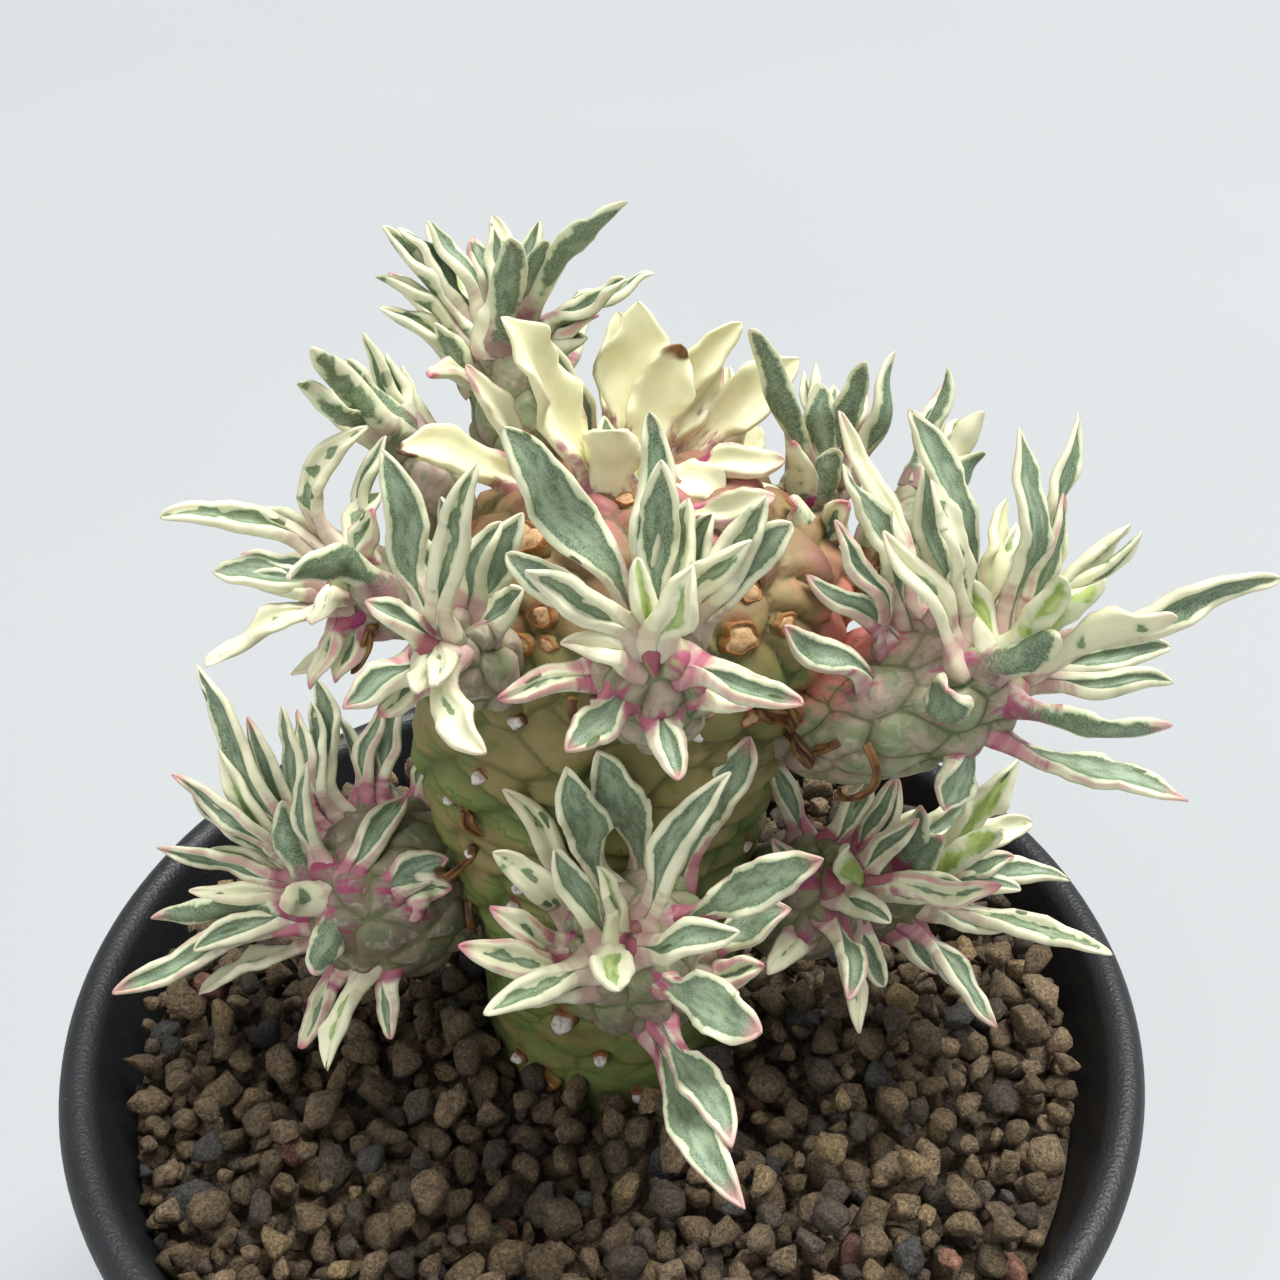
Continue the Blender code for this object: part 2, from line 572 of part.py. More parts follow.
def place_leaves(bodies):
    """Every leaf of every growth: first those that the photograph shows, then the hidden sides."""
    garden = Garden(bodies)
    placed = {name: [] for name in bodies}
    order = {growth: i for i, growths in enumerate(HEADS.values()) for growth in growths}
    order["crown"] = len(HEADS)
    partners = {growth: set(growths) for growths in HEADS.values() for growth in growths}
    partners["crown"] = {"crown"}
    for name, specs in LEAVES.items():
        for spec in specs:
            choices = [seen_leaf(spec, bodies[name], GROWTHS[name].face, step) for step in BEND_STEPS]
            gaps = [garden.room(order[name], choice, partners[name]) for choice in choices]
            clear = [i for i, gap in enumerate(gaps) if gap > 0]
            chosen = choices[clear[0] if clear else int(np.argmax(gaps))]
            garden.plant(order[name], chosen)
            placed[name].append(chosen)
    draw = np.random.default_rng(SEED)
    for name, growth in GROWTHS.items():
        left, index = growth.hidden_leaves, 0
        while left and index < MOST_TRIES:
            lean = math.radians(LEAN_FIRST + LEAN_SPREAD * ((index * LEAN_STEP) % 1.0))
            chance = draw.random(4)
            reach = growth.reach * (0.75 + 0.4 * chance[0])
            wide = 2.3 + 1.2 * chance[1]
            fold = 20 + 30 * chance[2]
            choice, outward, root = hidden_leaf(bodies[name], lean, index * GOLDEN_TURN, reach, wide, fold)
            index += 1
            faces_eye = outward @ unit(EYE - root) > -0.05
            buried = name != "crown" and bodies["crown"].clearance(root[None])[0] < BURIED_DEPTH
            shows = not within_outline(choice.route[3], LEAVES[name])
            if faces_eye or buried or shows:
                continue
            if garden.room(order[name], choice, partners[name]) > 0:
                garden.plant(order[name], choice)
                placed[name].append(choice)
                left -= 1
    return placed


def new_object(name, points, faces, colour, roughness):
    """An object from points in millimetres and faces, with a plain material of its own."""
    mesh = bpy.data.meshes.new(name)
    mesh.from_pydata([tuple(p) for p in np.asarray(points) * METRE], [], [tuple(f) for f in faces])
    mesh.validate()
    piece = bpy.data.objects.new(name, mesh)
    bpy.context.scene.collection.objects.link(piece)
    material = bpy.data.materials.new(name)
    material.use_nodes = True
    shader = material.node_tree.nodes["Principled BSDF"]
    shader.inputs["Base Color"].default_value = (*colour, 1.0)
    shader.inputs["Roughness"].default_value = roughness
    mesh.materials.append(material)
    return piece


def leaf_mesh(placed):
    """A folded blade: diamond sections along the midrib, split into triangles alike on both faces."""
    long = np.linalg.norm(placed.route[3] - placed.route[0]) > LONG_LEAF
    share = np.array(LONG_LEAF_STATIONS if long else SHORT_LEAF_STATIONS)
    points, side, upper = blade_frame(placed, share)
    half = half_width(share, placed.wide)[:, None]
    fold = math.radians(placed.fold)
    reach, lift = half * math.cos(fold), half * math.sin(fold)
    thick = BLADE_THICK / 2 * (1.3 - 0.5 * share)[:, None]
    rings = np.stack((points + side * reach + upper * lift, points + upper * thick,
                      points - side * reach + upper * lift, points - upper * thick), axis=1)
    stem = ROOT_HALF_WIDTH
    rings[0] = np.stack((points[0] + side[0] * stem, points[0] + upper[0] * stem,
                         points[0] - side[0] * stem, points[0] - upper[0] * stem))
    tip = placed.route[3][None]
    verts = np.concatenate((rings.reshape(-1, 3), tip))
    faces = [(0, 2, 1), (0, 3, 2)]
    rings_count = len(share)
    for i in range(rings_count - 1):
        for k in range(4):
            a, b = 4 * i + k, 4 * i + (k + 1) % 4
            c, d = b + 4, a + 4
            if k in (0, 2):
                faces += [(a, b, c), (a, c, d)]
            else:
                faces += [(a, b, d), (b, c, d)]
    last = 4 * (rings_count - 1)
    faces += [(last + k, last + (k + 1) % 4, len(verts) - 1) for k in range(4)]
    return verts, faces


def knobbly(ring_at, around, rows, relief_at, twist):
    """A closed body of knobs in staggered rows: every second point of each ring stands out.

    `ring_at(row, turns)` gives the points and outward directions of a ring. The creases run
    along the diagonals between the low points, and both ends close in a point.
    """
    steps = 2 * around
    rings = []
    for row in range(1, rows):
        turns = (np.arange(steps) + twist * row) / steps * 2 * math.pi
        points, outward = ring_at(row / rows, turns)
        high = (np.arange(steps) + row) % 2 == 0
        rings.append(points + outward * (high * relief_at(row / rows))[:, None])
    ends = [ring_at(share, np.zeros(1))[0][0] for share in (0.0, 1.0)]
    verts = np.concatenate([np.concatenate(rings), np.array(ends)])
    faces = []
    for j in range(rows - 2):
        for k in range(steps):
            a, b = j * steps + k, j * steps + (k + 1) % steps
            c, d = b + steps, a + steps
            low_first = (k + j + 1) % 2 == 1
            faces += [(a, b, c), (a, c, d)] if low_first else [(a, b, d), (b, c, d)]
    bottom, top, last = len(verts) - 2, len(verts) - 1, (rows - 2) * steps
    faces += [(k, bottom, (k + 1) % steps) for k in range(steps)]
    faces += [(last + k, last + (k + 1) % steps, top) for k in range(steps)]
    return verts, faces


def trunk_ring(swell):
    """The trunk's ring function: its levels up to the shoulder, then an elliptic dome."""
    levels = np.array(TRUNK_LEVELS)
    shoulder = levels[-1]
    steps = np.concatenate(((0.0,), np.cumsum(np.hypot(np.diff(levels[:, 0]), np.diff(levels[:, 3])))))
    side_run = steps[-1]
    whole = levels[0, 3] + side_run + CROWN_RUN

    def ring(share, turns):
        run = share * whole - levels[0, 3]
        if run <= 0:
            level = levels[0].copy()
            level[3:] *= share * whole / levels[0, 3]
            slope = -1.0
        elif run < side_run:
            level = np.array([np.interp(run, steps, levels[:, i]) for i in range(5)])
            slope = 0.0
        else:
            rise = (run - side_run) / CROWN_RUN * math.pi / 2
            level = shoulder.copy()
            level[0] += CROWN_RISE * math.sin(rise)
            level[3:] *= math.cos(rise)
            slope = math.sin(rise)
        flat = np.stack((np.cos(turns), np.sin(turns), 0 * turns), -1)
        points = np.array((level[1], level[2], level[0])) + flat * (level[3], level[4], 0)
        outward = flat * math.sqrt(max(1 - slope * slope, 0.0)) + np.array((0, 0, slope))
        return points + outward * swell, outward
    return ring


def trunk_mesh(swell=0.0):
    """The club-shaped trunk, its knobs fading out where it goes down into the grit."""
    ring = trunk_ring(swell)

    def relief(share):
        height = ring(share, np.zeros(1))[0][0][2]
        return TRUNK_RELIEF * float(np.clip((height - KNOBS_START) / (KNOBS_FULL - KNOBS_START), 0, 1))
    return knobbly(ring, TRUNK_KNOBS_AROUND, TRUNK_ROWS, relief, TRUNK_TWIST)


def ovoid_mesh(body, around, rows, relief):
    """A head's own body: knobs over an ovoid."""
    level = unit(np.cross(body.axis, SIGHT_RIGHT))
    other = np.cross(body.axis, level)

    def ring(share, turns):
        lean = math.pi * (1 - share)
        way = level * np.cos(turns)[:, None] + other * np.sin(turns)[:, None]
        points = body.middle + body.axis * body.half * math.cos(lean) + way * body.girth * math.sin(lean)
        outward = way * math.sin(lean) / body.girth + body.axis * math.cos(lean) / body.half
        return points, outward / np.linalg.norm(outward, axis=1, keepdims=True)
    return knobbly(ring, around, rows, lambda share: relief, 0.0)


def turned_mesh(profile, around):
    """A ring-shaped or closed body turned about the Z axis from a closed (radius, height) profile."""
    turns = np.arange(around) / around * 2 * math.pi
    verts, index = [], []
    for radius, height in profile:
        if radius <= 1e-6:
            index.append([len(verts)] * around)
            verts.append((0.0, 0.0, height))
        else:
            index.append(list(range(len(verts), len(verts) + around)))
            verts += [(radius * math.cos(t), radius * math.sin(t), height) for t in turns]
    faces = []
    for i in range(len(profile)):
        here, after = index[i], index[(i + 1) % len(profile)]
        for k in range(around):
            corners = [here[k], here[(k + 1) % around], after[(k + 1) % around], after[k]]
            corners = list(dict.fromkeys(corners))
            if len(corners) >= 3:
                faces.append(corners)
    return verts, faces


def tidy_body(piece):
    """Keep the one largest loose body of a mesh, without sealed hollows or scraps."""
    mesh = piece.data
    count = len(mesh.vertices)
    parent = list(range(count))

    def find(i):
        while parent[i] != i:
            parent[i] = parent[parent[i]]
            i = parent[i]
        return i
    for edge in mesh.edges:
        a, b = find(edge.vertices[0]), find(edge.vertices[1])
        parent[a] = b
    volume = {}
    points = [v.co.copy() for v in mesh.vertices]
    for face in mesh.polygons:
        key = find(face.vertices[0])
        fan = face.vertices
        for i in range(1, len(fan) - 1):
            part = points[fan[0]].dot(points[fan[i]].cross(points[fan[i + 1]])) / 6
            volume[key] = volume.get(key, 0.0) + part
    keep = max(volume, key=volume.get)
    drop = [v.index for v in mesh.vertices if find(v.index) != keep]
    if drop:
        work = bmesh.new()
        work.from_mesh(mesh)
        work.verts.ensure_lookup_table()
        bmesh.ops.delete(work, geom=[work.verts[i] for i in drop], context="VERTS")
        work.to_mesh(mesh)
        work.free()


def apply_boolean(piece, operation, collection=None, other=None):
    """Apply one Boolean on a collection or an object, and remove what it was made from."""
    step = piece.modifiers.new("join", "BOOLEAN")
    step.operation = operation
    step.solver = "EXACT"
    if collection is not None:
        step.operand_type = "COLLECTION"
        step.collection = collection
    else:
        step.object = other
    graph = bpy.context.evaluated_depsgraph_get()
    result = bpy.data.meshes.new_from_object(piece.evaluated_get(graph))
    piece.modifiers.clear()
    old = piece.data
    piece.data = result
    bpy.data.meshes.remove(old)
    if collection is not None:
        for part in list(collection.objects):
            bpy.data.objects.remove(part)
        bpy.data.collections.remove(collection)


def fuse(name, body, repeats, colour, roughness):
    """One node: a body and its repeats, joined by one union."""
    piece = new_object(name, *body, colour, roughness)
    group = bpy.data.collections.new(name + "_parts")
    bpy.context.scene.collection.children.link(group)
    for i, part in enumerate(repeats):
        extra = new_object(f"{name}_part_{i}", *part, colour, roughness)
        bpy.context.scene.collection.objects.unlink(extra)
        group.objects.link(extra)
    apply_boolean(piece, "UNION", collection=group)
    tidy_body(piece)
    return piece


def box_mesh(middle, ahead, side, up):
    """A box about its middle from its three half edges."""
    corners = [middle + ahead * a + side * b + up * c
               for c in (-1, 1) for a, b in ((-1, -1), (1, -1), (1, 1), (-1, 1))]
    faces = [(3, 2, 1, 0), (4, 5, 6, 7), (0, 1, 5, 4), (1, 2, 6, 5), (2, 3, 7, 6), (3, 0, 4, 7)]
    return corners, faces


def drain_slots():
    """A ring of slots through the pot's floor, to be cut out of it."""
    slots = []
    for i in range(DRAIN_COUNT):
        turn = math.radians(360 / DRAIN_COUNT * (i + 0.5))
        ahead = np.array((math.cos(turn), math.sin(turn), 0))
        side = np.array((-math.sin(turn), math.cos(turn), 0))
        middle = ahead * DRAIN_REACH + np.array((0, 0, FLOOR_LEVEL / 2))
        slots.append(box_mesh(middle, ahead * DRAIN_LENGTH / 2, side * DRAIN_BREADTH / 2,
                              np.array((0, 0, FLOOR_LEVEL))))
    return slots


def make_pot():
    """A tapered pot with a rolled rim, a foot ring round a sunk underside, and drainage slots."""
    bead = RIM_BEAD / 2
    turns = np.linspace(math.radians(-35), math.radians(180), 6)
    roll = [(RIM_RADIUS - bead + bead * math.cos(t), POT_HEIGHT - bead + bead * math.sin(t)) for t in turns]
    foot = BASE_RADIUS - FOOT_BREADTH
    profile = [
        (0.0, 0.0), (BOSS_RADIUS, 0.0), (BOSS_RADIUS + 1.0, FOOT_LIFT), (foot - 1.0, FOOT_LIFT), (foot, 0.0),
        (BASE_RADIUS - 1.5, 0.0), (BASE_RADIUS, 1.5),
        (COLLAR_RADIUS, COLLAR_LEVEL), (RIM_RADIUS - RIM_BEAD * 0.6, COLLAR_LEVEL + COLLAR_RISE),
        *roll,
        (INNER_LIP_RADIUS, INNER_LIP), (COLLAR_RADIUS - WALL, INNER_BEND),
        (BASE_RADIUS - WALL, FLOOR_LEVEL), (0.0, FLOOR_LEVEL),
    ]
    pot = new_object("pot", *turned_mesh(profile, POT_SIDES), POT_BLACK, SATIN)
    slots = bpy.data.collections.new("slots")
    bpy.context.scene.collection.children.link(slots)
    for i, shape in enumerate(drain_slots()):
        slot = new_object(f"slot_{i}", *shape, POT_BLACK, SATIN)
        bpy.context.scene.collection.objects.unlink(slot)
        slots.objects.link(slot)
    apply_boolean(pot, "DIFFERENCE", collection=slots)
    pot.data.shade_smooth()
    pot.data.set_sharp_from_angle(angle=math.radians(35))
    return pot


def pot_inside(height):
    """Inner radius of the pot at a height."""
    return float(np.interp(height, (FLOOR_LEVEL, INNER_BEND, INNER_LIP),
                           (BASE_RADIUS - WALL, COLLAR_RADIUS - WALL, INNER_LIP_RADIUS)))


def trunk_hole(height, turn):
    """A point on the wall of the hole in the grit that the trunk stands in."""
    levels = np.array(TRUNK_LEVELS)
    height, x, y, half_x, half_y = (np.interp(height, levels[:, 0], levels[:, i]) for i in range(5))
    return np.array((x + (half_x + SOIL_HOLE) * math.cos(turn), y + (half_y + SOIL_HOLE) * math.sin(turn)))


def make_soil():
    """The grit: grains as relief on rings of a disc, with a plain hole that the trunk stands in."""
    draw = np.random.default_rng(SEED + 1)
    turns = np.arange(SOIL_SIDES) / SOIL_SIDES * 2 * math.pi
    outer = pot_inside(SOIL_LEVEL) - CLEARANCE
    trunk_foot, first_x, first_y = TRUNK_LEVELS[0][:3]
    bottom = trunk_foot - CLEARANCE * 1.7
    rings = [[(*trunk_hole(height, t), height) for t in turns] for height in (bottom, TRUNK_LEVELS[1][0], SOIL_LEVEL)]
    for i in range(1, SOIL_RINGS):
        loose = 1 < i < SOIL_RINGS - 1
        ring = []
        for k, t in enumerate(turns):
            inner = trunk_hole(SOIL_LEVEL, t)
            edge = np.array((outer * math.cos(t), outer * math.sin(t)))
            spot = inner + (edge - inner) * i / SOIL_RINGS + draw.uniform(-0.5, 0.5, 2) * loose
            lift = (GRAIN_RISE if (k + i) % 2 == 0 else -GRAIN_DROP) * draw.uniform(0.55, 1.0)
            ring.append((*spot, SOIL_LEVEL + lift))
        rings.append(ring)
    for height in (SOIL_LEVEL, INNER_BEND, FLOOR_LEVEL + CLEARANCE):
        radius = pot_inside(height) - CLEARANCE
        rings.append([(radius * math.cos(t), radius * math.sin(t), height) for t in turns])
    verts = [(first_x, first_y, bottom)] + [p for ring in rings for p in ring]
    faces = []
    for k in range(SOIL_SIDES):
        after = (k + 1) % SOIL_SIDES
        faces.append((0, 1 + k, 1 + after))
        for j in range(len(rings) - 1):
            a, b = 1 + j * SOIL_SIDES + k, 1 + j * SOIL_SIDES + after
            c, d = b + SOIL_SIDES, a + SOIL_SIDES
            faces += [(a, d, c), (a, c, b)] if (k + j) % 2 == 0 else [(a, d, b), (b, d, c)]
    last = 1 + (len(rings) - 1) * SOIL_SIDES
    faces.append([last + k for k in reversed(range(SOIL_SIDES))])
    return new_object("soil", verts, faces, GRIT_BROWN, DULL)


def make_head(name, growths, bodies, placed):
    """A leafy head: its knobbly body and its leaves in one, cut clear of the trunk that it grows on."""
    parts = []
    for growth in growths:
        knobs, rows = LARGE_KNOBS if bodies[growth].girth > LARGE_GIRTH else SMALL_KNOBS
        parts.append(ovoid_mesh(bodies[growth], knobs, rows, HEAD_RELIEF))
        parts += [leaf_mesh(p) for p in placed[growth]]
    head = fuse(name, parts[0], parts[1:], LEAF_GREEN, SATIN)
    cutter = new_object("cutter", *trunk_mesh(swell=CLEARANCE), TRUNK_OLIVE, SATIN)
    apply_boolean(head, "DIFFERENCE", other=cutter)
    bpy.data.objects.remove(cutter)
    tidy_body(head)


def main():
    """Build every piece of the plant and its pot."""
    for old in list(bpy.data.objects):
        bpy.data.objects.remove(old)
    bodies = {name: Ovoid(growth) for name, growth in GROWTHS.items()}
    placed = place_leaves(bodies)
    make_pot()
    make_soil()
    fuse("trunk", trunk_mesh(), [leaf_mesh(p) for p in placed["crown"]], TRUNK_OLIVE, SATIN)
    for name, growths in HEADS.items():
        make_head(name, growths, bodies, placed)


main()
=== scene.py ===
"""The looks of a knobbly, variegated euphorbia in a black plastic pot of grit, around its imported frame.

Lengths are millimetres and angles degrees unless a name says otherwise, and meshes are made in metres.
The frame's origin is the middle of the pot's underside, +Z is up, and the plant is seen from -Y.
"""
import itertools
import json
import math
from collections import namedtuple
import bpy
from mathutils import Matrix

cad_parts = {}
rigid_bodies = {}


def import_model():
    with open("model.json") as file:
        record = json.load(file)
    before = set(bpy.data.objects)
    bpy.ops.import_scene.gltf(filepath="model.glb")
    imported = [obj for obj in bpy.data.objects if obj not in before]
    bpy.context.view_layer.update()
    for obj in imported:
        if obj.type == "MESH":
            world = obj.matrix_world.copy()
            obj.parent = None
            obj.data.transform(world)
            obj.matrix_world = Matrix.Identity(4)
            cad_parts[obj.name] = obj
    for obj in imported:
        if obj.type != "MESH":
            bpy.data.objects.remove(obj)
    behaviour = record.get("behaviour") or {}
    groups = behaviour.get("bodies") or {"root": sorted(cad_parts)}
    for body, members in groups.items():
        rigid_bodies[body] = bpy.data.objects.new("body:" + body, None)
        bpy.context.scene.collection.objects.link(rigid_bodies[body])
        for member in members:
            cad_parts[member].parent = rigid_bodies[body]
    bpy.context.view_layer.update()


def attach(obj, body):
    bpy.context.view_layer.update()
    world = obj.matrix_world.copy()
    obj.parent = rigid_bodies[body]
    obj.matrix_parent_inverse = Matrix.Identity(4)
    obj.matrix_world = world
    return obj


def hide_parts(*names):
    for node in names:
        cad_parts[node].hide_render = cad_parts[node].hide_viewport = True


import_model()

from types import SimpleNamespace

import bmesh
import bpy
import numpy as np
from mathutils import Vector

METRE = 0.001
SEED = 11

# The pot and what is in it, as the frame has them
RIM_RADIUS = 60.6
POT_HEIGHT = 104.0
BASE_RADIUS = 43.0
WALL = 2.0
RIM_BEAD = 4.2
COLLAR_RADIUS = RIM_RADIUS - 5.5
COLLAR_LEVEL = POT_HEIGHT - 12.0
COLLAR_RISE = 3.0
INNER_BEND = POT_HEIGHT - 14.0
INNER_LIP = POT_HEIGHT - 8.0
INNER_LIP_RADIUS = RIM_RADIUS - RIM_BEAD - 1.2
FLOOR_LEVEL = 4.6
FOOT_LIFT = 1.6
FOOT_BREADTH = 5.0
BOSS_RADIUS = 13.0
DRAIN_COUNT = 6
DRAIN_REACH = 25.0
DRAIN_LENGTH = 12.0
DRAIN_BREADTH = 3.4
SOIL_LEVEL = 97.0

# The trunk, as the frame has it: height, middle (x, y) and half widths (x, y) of each level
TRUNK_LEVELS = (
    (76.0, 1.0, 2.7, 9.5, 9.5),
    (84.0, 1.0, 2.7, 13.2, 12.8),
    (96.0, 0.9, 2.7, 14.8, 14.3),
    (116.0, 0.6, 2.7, 15.2, 15.0),
    (126.0, 0.0, 2.3, 17.0, 16.2),
    (138.0, -0.3, 1.7, 19.0, 17.0),
    (148.0, 2.0, 1.7, 20.3, 16.9),
    (155.0, 4.5, 1.7, 20.5, 16.2),
)
CROWN_RISE = 13.5
CROWN_RUN = 24.0
CROWN_TOP = TRUNK_LEVELS[-1][0] + CROWN_RISE

# The photograph's point of view, found from its pot rim, which is a true circle
PHOTO_SIDE = 1280.0
VIEW_ANGLE = 44.0
VIEW_DOWN = 34.28
EYE = np.array((4.1, -128.96, 238.96))
FOCAL = PHOTO_SIDE / 2 / math.tan(math.radians(VIEW_ANGLE / 2))
DOWN_COS, DOWN_SIN = math.cos(math.radians(VIEW_DOWN)), math.sin(math.radians(VIEW_DOWN))
SIGHT_UP = np.array((0.0, DOWN_SIN, DOWN_COS))
SIGHT_AHEAD = np.array((0.0, DOWN_COS, -DOWN_SIN))
SIGHT_RIGHT = np.array((1.0, 0.0, 0.0))

# One growth: seat in the trunk, growing tip, half width, leaves on its hidden side and their usual
# length, and the share by which its blades turn their faces to the viewer
Growth = namedtuple("Growth", "seat tip girth hidden_leaves reach face")
GROWTHS = {
    "top_back": Growth((-6.5, 10.6, 158.8), (-8.9, 17.0, 178.6), 5.3, 6, 14.0, 0.35),
    "left_back": Growth((-12.6, 5.9, 157.0), (-19.3, 7.4, 170.6), 3.3, 2, 12.0, 0.4),
    "left": Growth((-13.0, 0.7, 153.0), (-25.0, -2.3, 161.0), 4.4, 3, 12.0, 0.5),
    "front_left": Growth((-8.5, -7.3, 151.0), (-13.0, -18.8, 164.0), 4.3, 2, 11.0, 0.3),
    "front_upper": Growth((5.5, -10.3, 149.0), (5.3, -24.8, 167.0), 5.2, 2, 11.0, 0.3),
    "front_lower": Growth((5.8, -10.3, 116.5), (2.3, -25.8, 136.0), 8.0, 3, 13.0, 0.3),
    "lower_left": Growth((-13.0, 0.7, 117.5), (-32.5, -3.3, 121.0), 9.8, 7, 14.0, 0.6),
    "lower_right": Growth((18.0, 1.7, 113.0), (23.6, -9.8, 128.0), 6.9, 3, 13.0, 0.4),
    "lower_far_right": Growth((20.0, 2.7, 113.0), (36.0, -2.3, 123.0), 6.2, 6, 13.0, 0.5),
    "right": Growth((16.5, -3.8, 141.6), (40.0, -9.2, 155.4), 7.4, 8, 15.0, 0.45),
    "back_right": Growth((17.0, 5.7, 154.0), (23.5, 12.7, 165.0), 4.2, 5, 13.0, 0.5),
    "far_back_right": Growth((25.0, 3.7, 152.0), (33.5, 10.2, 163.5), 4.0, 5, 12.0, 0.4),
    "crown": Growth((4.5, 1.7, 141.5), (4.5, 1.7, 168.5), 18.0, 7, 12.0, 0.6),
}
# Each head is one node of the frame, of one growth or of two that grew together
HEADS = {
    "head_top_back": ("top_back",),
    "head_left_back": ("left_back",),
    "head_left": ("left",),
    "head_front_left": ("front_left",),
    "head_front_upper": ("front_upper",),
    "head_front_lower": ("front_lower",),
    "head_lower_left": ("lower_left",),
    "head_lower_right": ("lower_right", "lower_far_right"),
    "head_right": ("right",),
    "head_back_right": ("back_right",),
    "head_far_back_right": ("far_back_right",),
}

# What a leaf's skin looks like, each from 0 to 1 but for the first: breadth of its cream margin as a
# share of its half breadth, specks in the cream, youth of its green, yellowness of its cream, pink at
# its stalk, at its very edge and at its tip, and scorching of its tip, which is 2 on a dried leaf
Look = namedtuple("Look", "margin specks young yellow stalk edge tip scorch")
LOOKS = {
    "green": Look(0.165, 0.15, 0.0, 0.15, 0.55, 0.15, 0.10, 0.0),
    "broad": Look(0.14, 0.05, 0.0, 0.15, 0.45, 0.08, 0.05, 0.0),
    "edged": Look(0.16, 0.12, 0.0, 0.10, 0.90, 0.75, 0.70, 0.0),
    "dotted": Look(0.36, 0.85, 0.1, 0.20, 0.35, 0.10, 0.05, 0.0),
    "spotted": Look(0.70, 1.00, 0.1, 0.30, 0.45, 0.10, 0.10, 0.0),
    "cream": Look(0.90, 0.20, 0.1, 0.30, 0.60, 0.25, 0.30, 0.0),
    "pale": Look(0.62, 0.25, 0.7, 0.25, 0.25, 0.05, 0.05, 0.0),
    "bright": Look(0.40, 0.25, 1.0, 0.25, 0.05, 0.00, 0.00, 0.0),
    "olive": Look(0.40, 0.10, 0.8, 0.80, 0.30, 0.10, 0.00, 0.0),
    "dark": Look(0.15, 0.00, 0.0, 0.10, 0.40, 0.00, 0.00, 0.0),
    "pink": Look(0.70, 0.15, 0.0, 0.25, 1.00, 0.95, 1.00, 0.0),
    "yellow": Look(3.60, 0.00, 0.3, 1.00, 0.85, 0.05, 0.00, 0.0),
    "burnt": Look(3.60, 0.00, 0.3, 1.00, 0.75, 0.05, 0.00, 1.0),
    "peach": Look(3.60, 0.00, 0.0, 0.60, 1.00, 0.90, 0.60, 0.0),
    "dry": Look(3.60, 0.00, 0.0, 0.00, 0.00, 0.00, 0.00, 2.0),
}
HIDDEN_LOOKS = ("green", "green", "edged", "dotted", "cream", "green", "edged", "pale")

# One leaf: tip and root as the photograph shows them in its pixels, widest breadth in millimetres,
# fold of its halves in degrees, bow to the left of its way, curl of its tip and nearness of its tip
# to the eye in millimetres, its length where it points at the viewer, whether it grows behind, its look
Leaf = namedtuple("Leaf", "tip root wide fold bow curl nearer long behind look")


def leaf(tip, root, wide, fold=25, bow=0.0, curl=0.0, nearer=0.0, long=0.0, behind=False, look="green"):
    """One leaf with the usual fold and look, and no bow or curl unless they are given."""
    return Leaf(tip, root, wide, fold, bow, curl, nearer, long, behind, look)


